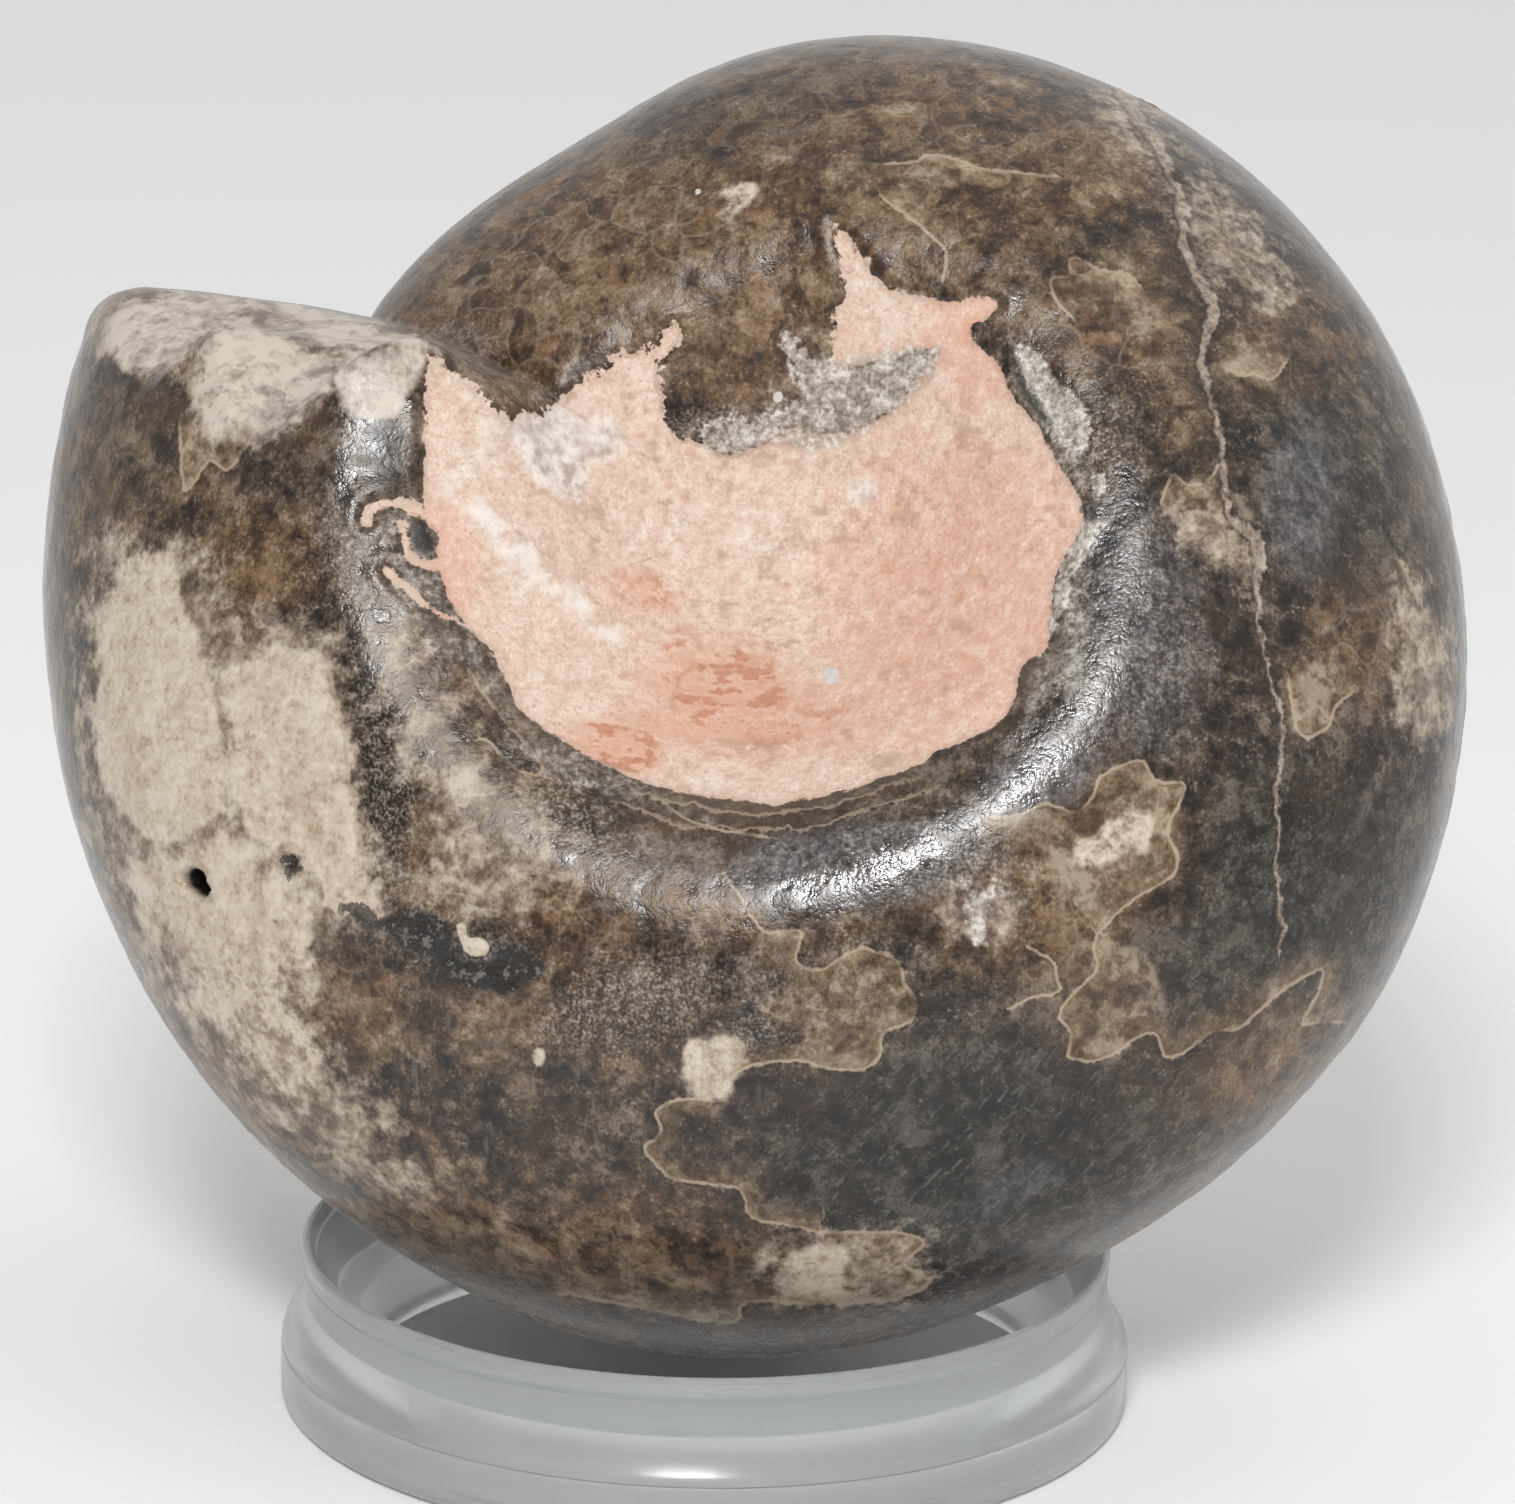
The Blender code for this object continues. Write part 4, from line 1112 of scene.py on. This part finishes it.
class StonePaint(Paint):
    """The stone's grain, and its layers of colour from the dark base up."""

    def __init__(self):
        super().__init__(bpy.data.materials.new("fossil_stone"))
        self.spark = self.noise(5200.0, 1.0, 0.6)
        self.fine = self.noise(2600.0, 2.0, 0.7)
        self.small = self.noise(1000.0, 3.0, 0.6)
        self.middle = self.noise(380.0, 3.0, 0.55)
        self.broad = self.noise(105.0, 2.0, 0.55)
        self.upright = self.noise(1500.0, 2.0, 0.6, self.stretched((1.0, 1.0, 0.2)))
        self.scratches = self.noise(3000.0, 2.0, 0.6, self.stretched((0.22, 1.0, 1.0), (0.0, 0.9, 0.0)))
        self.level = self.noise(520.0, 3.0, 0.65, self.stretched((0.28, 1.0, 1.0)))
        self.fine_wave = self.fine - 0.5
        self.small_wave = self.small - 0.5
        self.middle_wave = self.middle - 0.5
        self.edge = self.small_wave * 1.3 + self.middle_wave * 2.4
        self.ragged = self.small_wave * 0.9 + self.fine_wave * 0.6
        self.mottle = self.middle * 0.38 + (self.small * 0.35 + self.fine * 0.27)
        self.grainy = self.middle * 0.2 + (self.small * 0.4 + self.fine * 0.4)
        self.crumbly = self.fine * 0.5 + self.small * 0.5
        self.specks = self.spark.rise(0.6, 0.73) * self.small.rise(0.46, 0.62)
        self.dark_grains = self.spark.rise(0.43, 0.31)
        pushed = self.jostled(900.0, 0.0012)
        self.flecks = self.cells(520.0, pushed)
        self.chips = self.cells(1150.0, pushed)
        self.tone = self.mottle + (self.flecks[0] - 0.5) * 0.09 + (self.chips[0] - 0.5) * 0.09
        self.brown = self.value("brown")
        self.pink = self.value("pink") + self.ragged * (self.value("crumble") * 1.8 + 0.8)
        self.rough = self.small_wave * 0.45 + self.fine_wave * 0.28 + 0.24

    def share(self, name, wobble, low, high):
        """Where a marking is in force, its edge broken up by noise."""
        return (self.value(name) + self.edge * wobble).rise(low, high)

    def dark_stone(self):
        """Mottled dark stone, with crystals a little lighter or darker, and light specks."""
        base = self.ramp(
            self.tone, (0.39, 0.013, 0.0095, 0.008), (0.46, 0.036, 0.025, 0.019),
            (0.53, 0.072, 0.05, 0.036), (0.61, 0.165, 0.125, 0.092),
        )
        return self.overlaid(
            base,
            ((0.11, 0.064, 0.036), self.broad.rise(0.5, 0.66) * 0.4),
            ((0.012, 0.009, 0.008), self.dark_grains * 0.6),
            ((0.34, 0.31, 0.28), self.specks * 0.5),
            ((0.24, 0.225, 0.215), self.upright.rise(0.62, 0.76) * 0.35),
        )

    def brown_crystals(self, stone):
        """Blotches of olive, tan and dark brown over the stone, with cells faintly bordered."""
        pushed = self.jostled(420.0, 0.003)
        crystal, other_crystal = self.cells(380.0, pushed)
        borders = self.cell_borders(380.0, pushed)
        blotch = self.mottle + (crystal - 0.5) * 0.13
        self.blotch = blotch + (self.flecks[1] - 0.5) * 0.07 + (self.chips[1] - 0.5) * 0.07
        tone = self.ramp(
            self.blotch, (0.36, 0.034, 0.018, 0.011), (0.45, 0.088, 0.045, 0.022),
            (0.52, 0.158, 0.093, 0.046), (0.6, 0.24, 0.16, 0.092), (0.69, 0.37, 0.283, 0.195),
        )
        amber = other_crystal.rise(0.8, 0.95) * self.small.rise(0.42, 0.6)
        tone = self.overlaid(
            tone,
            ((0.34, 0.27, 0.205), borders.rise(0.07, 0.0) * self.broad.rise(0.44, 0.56) * 0.4),
            ((0.03, 0.017, 0.01), self.dark_grains * 0.4),
            ((0.46, 0.4, 0.34), self.specks * 0.45),
            ((0.25, 0.125, 0.05), amber * 0.45),
        )
        share = (self.brown + self.edge * 0.4).rise(0.02, 0.75)
        self.rough = self.rough + share * 0.12
        return self.overlaid(stone, (tone, share * 0.92))

    def polish(self, stone):
        """Smooth charcoal parts with sparse specks and scratches, grit, and painted sheen: silver-grey
        colour for soft highlights and reflections on the polish, partly silvery streaks; these parts are
        glossier.
        """
        charcoal = self.ramp(
            self.tone, (0.39, 0.008, 0.0075, 0.0065), (0.5, 0.022, 0.02, 0.0165),
            (0.62, 0.066, 0.061, 0.052),
        )
        charcoal = self.overlaid(
            charcoal,
            ((0.01, 0.01, 0.009), self.dark_grains * 0.5),
            ((0.26, 0.26, 0.25), self.specks * 0.35),
            ((0.26, 0.265, 0.27), self.scratches.rise(0.58, 0.72) * 0.3),
            ((0.008, 0.008, 0.007), self.scratches.rise(0.42, 0.32) * 0.4),
        )
        # Painted sheen: silver-grey colour standing in for the lamp's soft highlights and the surround's
        # reflection on the polish, in places also silvery streaks of the stone
        painted_sheen = self.ramp(
            self.upright * 0.55 + self.fine * 0.45, (0.38, 0.05, 0.047, 0.05), (0.49, 0.125, 0.12, 0.125),
            (0.6, 0.22, 0.215, 0.22), (0.7, 0.42, 0.415, 0.42),
        )
        grit = self.ramp(
            self.fine * 0.45 + self.spark * 0.55, (0.42, 0.02, 0.014, 0.011), (0.49, 0.085, 0.06, 0.042),
            (0.55, 0.2, 0.16, 0.125), (0.63, 0.46, 0.42, 0.38),
        )
        self.gloss = self.value("painted_sheen_and_gloss").rise(0.7, 1.2)
        self.rough = self.rough - self.gloss * 0.15
        return self.overlaid(
            stone,
            (charcoal, self.share("charcoal", 0.35, 0.1, 0.95) * 0.85),
            # painted sheen over the stone
            (painted_sheen, self.share("painted_sheen_and_gloss", 0.3, 0.15, 1.1) * 0.75),
            (grit, self.share("grit", 0.35, 0.15, 0.95) * 0.36),
        )

    def pale_patches(self, stone):
        """Ochre, tan and cream patches, and the pale faces of the broken end."""
        ochre_tone = self.ramp(
            self.tone, (0.4, 0.068, 0.04, 0.024), (0.5, 0.17, 0.112, 0.068), (0.6, 0.36, 0.285, 0.205),
        )
        tan_tone = self.ramp(
            self.tone, (0.39, 0.13, 0.088, 0.062), (0.47, 0.24, 0.178, 0.13), (0.55, 0.4, 0.325, 0.25),
            (0.63, 0.54, 0.465, 0.375),
        )
        cream_tone = self.ramp(
            self.grainy, (0.4, 0.43, 0.32, 0.232), (0.46, 0.54, 0.44, 0.34), (0.53, 0.6, 0.512, 0.405),
            (0.6, 0.665, 0.585, 0.48),
        )
        cream_tone = self.overlaid(cream_tone, ((0.42, 0.31, 0.225), self.middle.rise(0.44, 0.34) * 0.35))
        face_tone = self.ramp(
            self.tone, (0.38, 0.29, 0.235, 0.19), (0.46, 0.45, 0.38, 0.32), (0.56, 0.62, 0.54, 0.465),
        )
        tan = (self.value("tan") + (self.edge * 0.7 + self.ragged * 1.1)).rise(-0.7, 0.7)
        face = self.share("pale_face", 0.6, -0.4, 0.4)
        veil = self.brown * (self.mottle.rise(0.56, 0.42) * -0.85) + 0.95
        self.rough = self.rough + tan * 0.12 + face * 0.15
        return self.overlaid(
            stone,
            (ochre_tone, self.share("ochre", 1.0, -0.35, 0.8) * 0.8),
            (tan_tone, tan * 0.9),
            (cream_tone, self.share("cream", 0.75, -0.4, 0.4) * veil),
            (face_tone, face * 0.95),
        )

    def sutures(self, stone):
        """Suture lines: a thin tan line with a warm glow on one side."""
        golden = self.ramp(
            self.blotch, (0.38, 0.08, 0.046, 0.022), (0.46, 0.18, 0.115, 0.06),
            (0.54, 0.29, 0.205, 0.125), (0.63, 0.46, 0.37, 0.265),
        )
        away = self.value("suture") + self.ragged * 0.4
        glow = away.rise(-0.05, 0.1) * away.rise(1.9, 0.2) * self.value("suture_warm")
        line = abs(away).rise(0.14, 0.04) * self.value("suture_on") * self.middle.rise(0.3, 0.5)
        line_tone = self.overlaid((0.3, 0.21, 0.13), ((0.56, 0.46, 0.35), self.small))
        return self.overlaid(stone, (golden, glow * 0.65), (line_tone, line * 0.8))

    def crack(self, stone):
        """The cream crack, with a thin painted shadow along its edges."""
        width = self.value("crack_width")
        past = abs(self.value("crack") + self.small_wave * 1.1) - width
        here = width.rise(0.02, 0.08)
        tone = self.ramp(
            self.grainy, (0.41, 0.17, 0.12, 0.09), (0.5, 0.33, 0.26, 0.205), (0.58, 0.48, 0.405, 0.335),
        )
        return self.overlaid(
            stone,
            # Painted shadow beside the raised crack
            ((0.025, 0.02, 0.017), past.rise(0.35, 0.1) * here * 0.45),
            (tone, past.rise(0.12, -0.1) * here * 0.92),
        )

    def crust(self, stone):
        """A grey crust round the pink filling in places, then a dark moat with pale rings."""
        crust_tone = self.ramp(
            self.crumbly, (0.4, 0.046, 0.035, 0.028), (0.47, 0.13, 0.102, 0.08),
            (0.54, 0.27, 0.23, 0.195), (0.61, 0.52, 0.48, 0.435),
        )
        near_pink = (self.pink + self.edge * 1.2).rise(-3.5, -1.0)
        crust = self.share("crust", 0.45, 0.2, 0.8) * near_pink
        self.rough = self.rough + crust * 0.2
        layers = self.pink + self.middle_wave * 1.2
        inner_ring = abs(layers + 0.75).rise(0.14, 0.05)
        outer_ring = abs(layers + 1.7).rise(0.12, 0.04)
        rings = self.math("MAXIMUM", inner_ring, outer_ring) * self.broad.rise(0.44, 0.58)
        moat = self.value("moat")
        moat_tone = self.overlaid((0.04, 0.024, 0.015), ((0.17, 0.11, 0.07), self.small))
        return self.overlaid(
            stone,
            (crust_tone, crust * 0.75),
            (moat_tone, self.pink.rise(-2.0, -0.4) * 0.6 * moat),
            ((0.36, 0.27, 0.19), rings * moat * 0.7),
        )

    def red_veins(self, peach):
        """Red strokes, and a red blush with level veins."""
        blush = self.share("red_area", 0.6, 0.2, 0.9)
        stroke = abs(self.value("red") + self.edge * 0.5).rise(0.42, 0.04) * self.value("red_on")
        veins = self.level * 0.6 + self.small * 0.4
        red = self.math("MAXIMUM", stroke * 0.5, veins.rise(0.51, 0.56) * blush)
        red_tone = self.overlaid((0.3, 0.11, 0.06), ((0.72, 0.33, 0.2), self.fine))
        return self.overlaid(
            peach,
            ((0.66, 0.33, 0.2), blush * 0.3),
            (red_tone, red * 0.85),
            ((0.36, 0.235, 0.16), veins.rise(0.46, 0.4) * self.broad.rise(0.44, 0.6) * 0.35),
        )

    def pink_filling(self, stone):
        """The pink limestone: peach and warm parts, a pale patch, a painted highlight streak along a ridge,
        red, cracks and a darker band along its edge.
        """
        peach = self.ramp(
            self.grainy, (0.4, 0.6, 0.415, 0.32), (0.5, 0.71, 0.535, 0.43), (0.6, 0.78, 0.645, 0.55),
        )
        warm = self.ramp(
            self.grainy, (0.4, 0.65, 0.37, 0.265), (0.5, 0.71, 0.445, 0.345), (0.6, 0.77, 0.55, 0.45),
        )
        pale = self.ramp(
            self.small, (0.36, 0.46, 0.43, 0.42), (0.47, 0.64, 0.59, 0.555), (0.6, 0.84, 0.79, 0.75),
        )
        # Painted highlight: a pale stroke along the ridge in the pink filling
        highlight_streak = abs(self.value("highlight_streak") + self.edge).rise(1.1, 0.0) * self.value("highlight_streak_on")
        peach = self.overlaid(
            peach,
            (warm, self.value("pink_warm").rise(0.05, 0.95)),
            ((0.86, 0.76, 0.68), self.specks * 0.45),
            ((0.4, 0.25, 0.18), self.dark_grains * 0.22),
            (pale, self.share("pink_pale", 0.35, 0.2, 0.85) * 0.75),
            ((0.86, 0.81, 0.77), highlight_streak * self.middle.rise(0.36, 0.56) * 0.8),
        )
        cracks = abs(self.small_wave).rise(0.012, 0.002) * self.middle.rise(0.5, 0.6)
        # A darker band just inside the pink filling's edge
        darker_edge_band = self.pink.rise(0.9, 0.0) * self.small.rise(0.42, 0.6)
        peach = self.overlaid(
            self.red_veins(peach),
            ((0.36, 0.22, 0.14), cracks * 0.55),
            ((0.42, 0.29, 0.21), darker_edge_band * 0.45),
        )
        is_pink = self.pink.rise(-0.07, 0.07)
        self.rough = self.rough + is_pink * 0.42
        return self.overlaid(stone, (peach, is_pink))

    def crumbs(self, stone):
        """Crumbly white matter, dark chips, painted shadow along the stone's lower edge, pale spots, and
        pits painted near-black as shade.
        """
        chalk_tone = self.ramp(
            self.fine * 0.6 + self.small * 0.4, (0.4, 0.24, 0.2, 0.16), (0.47, 0.4, 0.35, 0.295),
            (0.54, 0.54, 0.49, 0.43), (0.6, 0.74, 0.7, 0.655),
        )
        grains = self.crumbly.rise(0.54, 0.6) * 0.55
        dark_spot_and_shadow_tone = self.overlaid((0.011, 0.01, 0.01), ((0.24, 0.22, 0.2), grains))
        spot_tone = self.overlaid((0.42, 0.38, 0.35), ((0.82, 0.78, 0.74), self.fine))
        return self.overlaid(
            stone,
            (chalk_tone, (self.value("chalk") + self.ragged * 3.0).rise(-0.5, 0.5) * 0.8),
            # Dark spots, and painted shadow along the stone's lower edge
            (dark_spot_and_shadow_tone, (self.value("dark") + self.ragged * 1.7).rise(-0.08, 0.12) * 0.85),
            (spot_tone, self.value("spots").rise(0.35, 0.6)),
            # Painted shade: the pits are coloured near-black inside
            ((0.006, 0.005, 0.004), self.value("pits").rise(0.2, 0.8)),
        )


def stone_material():
    """Polished dark fossil stone with its crystals, markings and pink filling."""
    paint = StonePaint()
    stone = paint.brown_crystals(paint.dark_stone())
    for layer in (paint.polish, paint.pale_patches, paint.sutures, paint.crack, paint.crust,
                  paint.pink_filling, paint.crumbs):
        stone = layer(stone)
    height = paint.fine + paint.small + paint.upright * paint.gloss
    height = height + paint.fine * paint.value("crust") * 1.2
    return paint.finish(
        Base_Color=stone, Roughness=paint.math("MAXIMUM", paint.rough, 0.08),
        Normal=paint.bumpy(height, 0.5, 0.08 * MM), IOR=1.5, Sheen_Weight=0.22, Sheen_Roughness=0.35,
    )


def acrylic_material():
    """Clear cast acrylic with faint scuffs."""
    paint = Paint(bpy.data.materials.new("clear_acrylic"))
    scuffs = paint.noise(900.0, 3.0, 0.6, paint.stretched((1.0, 1.0, 0.3)))
    tint = paint.overlaid((0.86, 0.885, 0.9), ((0.9, 0.92, 0.93), paint.noise(160.0)))
    return paint.finish(
        Base_Color=tint, Roughness=scuffs.rise(0.5, 0.8) * 0.06 + 0.2,
        Normal=paint.bumpy(scuffs, 0.15, 0.05 * MM), Transmission_Weight=0.84, IOR=1.49,
    )


# --- Scene ---

def aimed_matrix(place, right, up, backward):
    """A matrix from a place and three axes."""
    matrix = np.eye(4)
    matrix[:3] = np.column_stack([right, up, backward, place])
    return Matrix(matrix.tolist())


def add_camera():
    """The camera at the photograph's place."""
    data = bpy.data.cameras.new("camera")
    data.lens = CAMERA_LENS
    data.sensor_width = CAMERA_SENSOR
    data.sensor_fit = "HORIZONTAL"
    data.clip_start = 0.01
    camera = add_object("camera", data)
    camera.matrix_world = aimed_matrix(*camera_axes())
    bpy.context.scene.camera = camera


KEY_PLACE = np.array((-0.05, -0.60, 0.57))
KEY_TARGET = np.array((0.0, 0.0, 0.045))
KEY_SIZE = (0.20, 0.18)
KEY_POWER = 3.9


def add_key_light():
    """A soft rectangular lamp in front, above the camera."""
    data = bpy.data.lights.new("key", "AREA")
    data.shape = "RECTANGLE"
    data.size, data.size_y = KEY_SIZE
    data.energy = KEY_POWER
    backward = KEY_PLACE - KEY_TARGET
    backward /= np.linalg.norm(backward)
    right = np.cross((0.0, 0.0, 1.0), backward)
    right /= np.linalg.norm(right)
    up = np.cross(backward, right)
    add_object("key", data).matrix_world = aimed_matrix(KEY_PLACE, right, up, backward)


FLOOR_HALF_WIDTH = 4.0
FLOOR_DROP = 0.2 * MM


def add_floor():
    """A wide pale floor."""
    paint = Paint(bpy.data.materials.new("floor"))
    tone = paint.overlaid((0.96, 0.96, 0.96), ((0.98, 0.98, 0.98), paint.noise(6.0)))
    corners = np.array(((-1, -1, 0), (1, -1, 0), (1, 1, 0), (-1, 1, 0))) * FLOOR_HALF_WIDTH
    surface = paint.finish(Base_Color=tone, Roughness=0.9)
    floor = add_mesh("floor", corners, [(0, 1, 2, 3)], surface)
    floor.location.z = -FLOOR_DROP


WORLD_LEVEL = 0.57
WORLD_SLOPE = (0.22, 0.30, 0.04)    # how the level changes with direction: right, back, up


def light_world():
    """A white surround, brighter behind the object."""
    paint = Paint(bpy.data.worlds.new("studio"))
    direction = paint.add("ShaderNodeTexCoord").outputs["Generated"]
    slope = paint.add("ShaderNodeVectorMath", {0: direction, 1: WORLD_SLOPE}, operation="DOT_PRODUCT")
    level = Field(paint, slope.outputs["Value"]) + WORLD_LEVEL
    background = paint.add("ShaderNodeBackground", {"Color": (1.0, 1.0, 1.0), "Strength": level})
    paint.add("ShaderNodeOutputWorld", {"Surface": background.outputs[0]})
    bpy.context.scene.world = paint.owner


stone_surface = stone_material()
for piece in stone_pieces(stone_surface):
    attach(piece, "root")
    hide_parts("ammonite")
ring = ring_piece(acrylic_material())
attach(ring, "root")
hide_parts("ring_stand")

add_floor()
light_world()
add_key_light()
add_camera()
bpy.context.scene.view_settings.view_transform = "Standard"
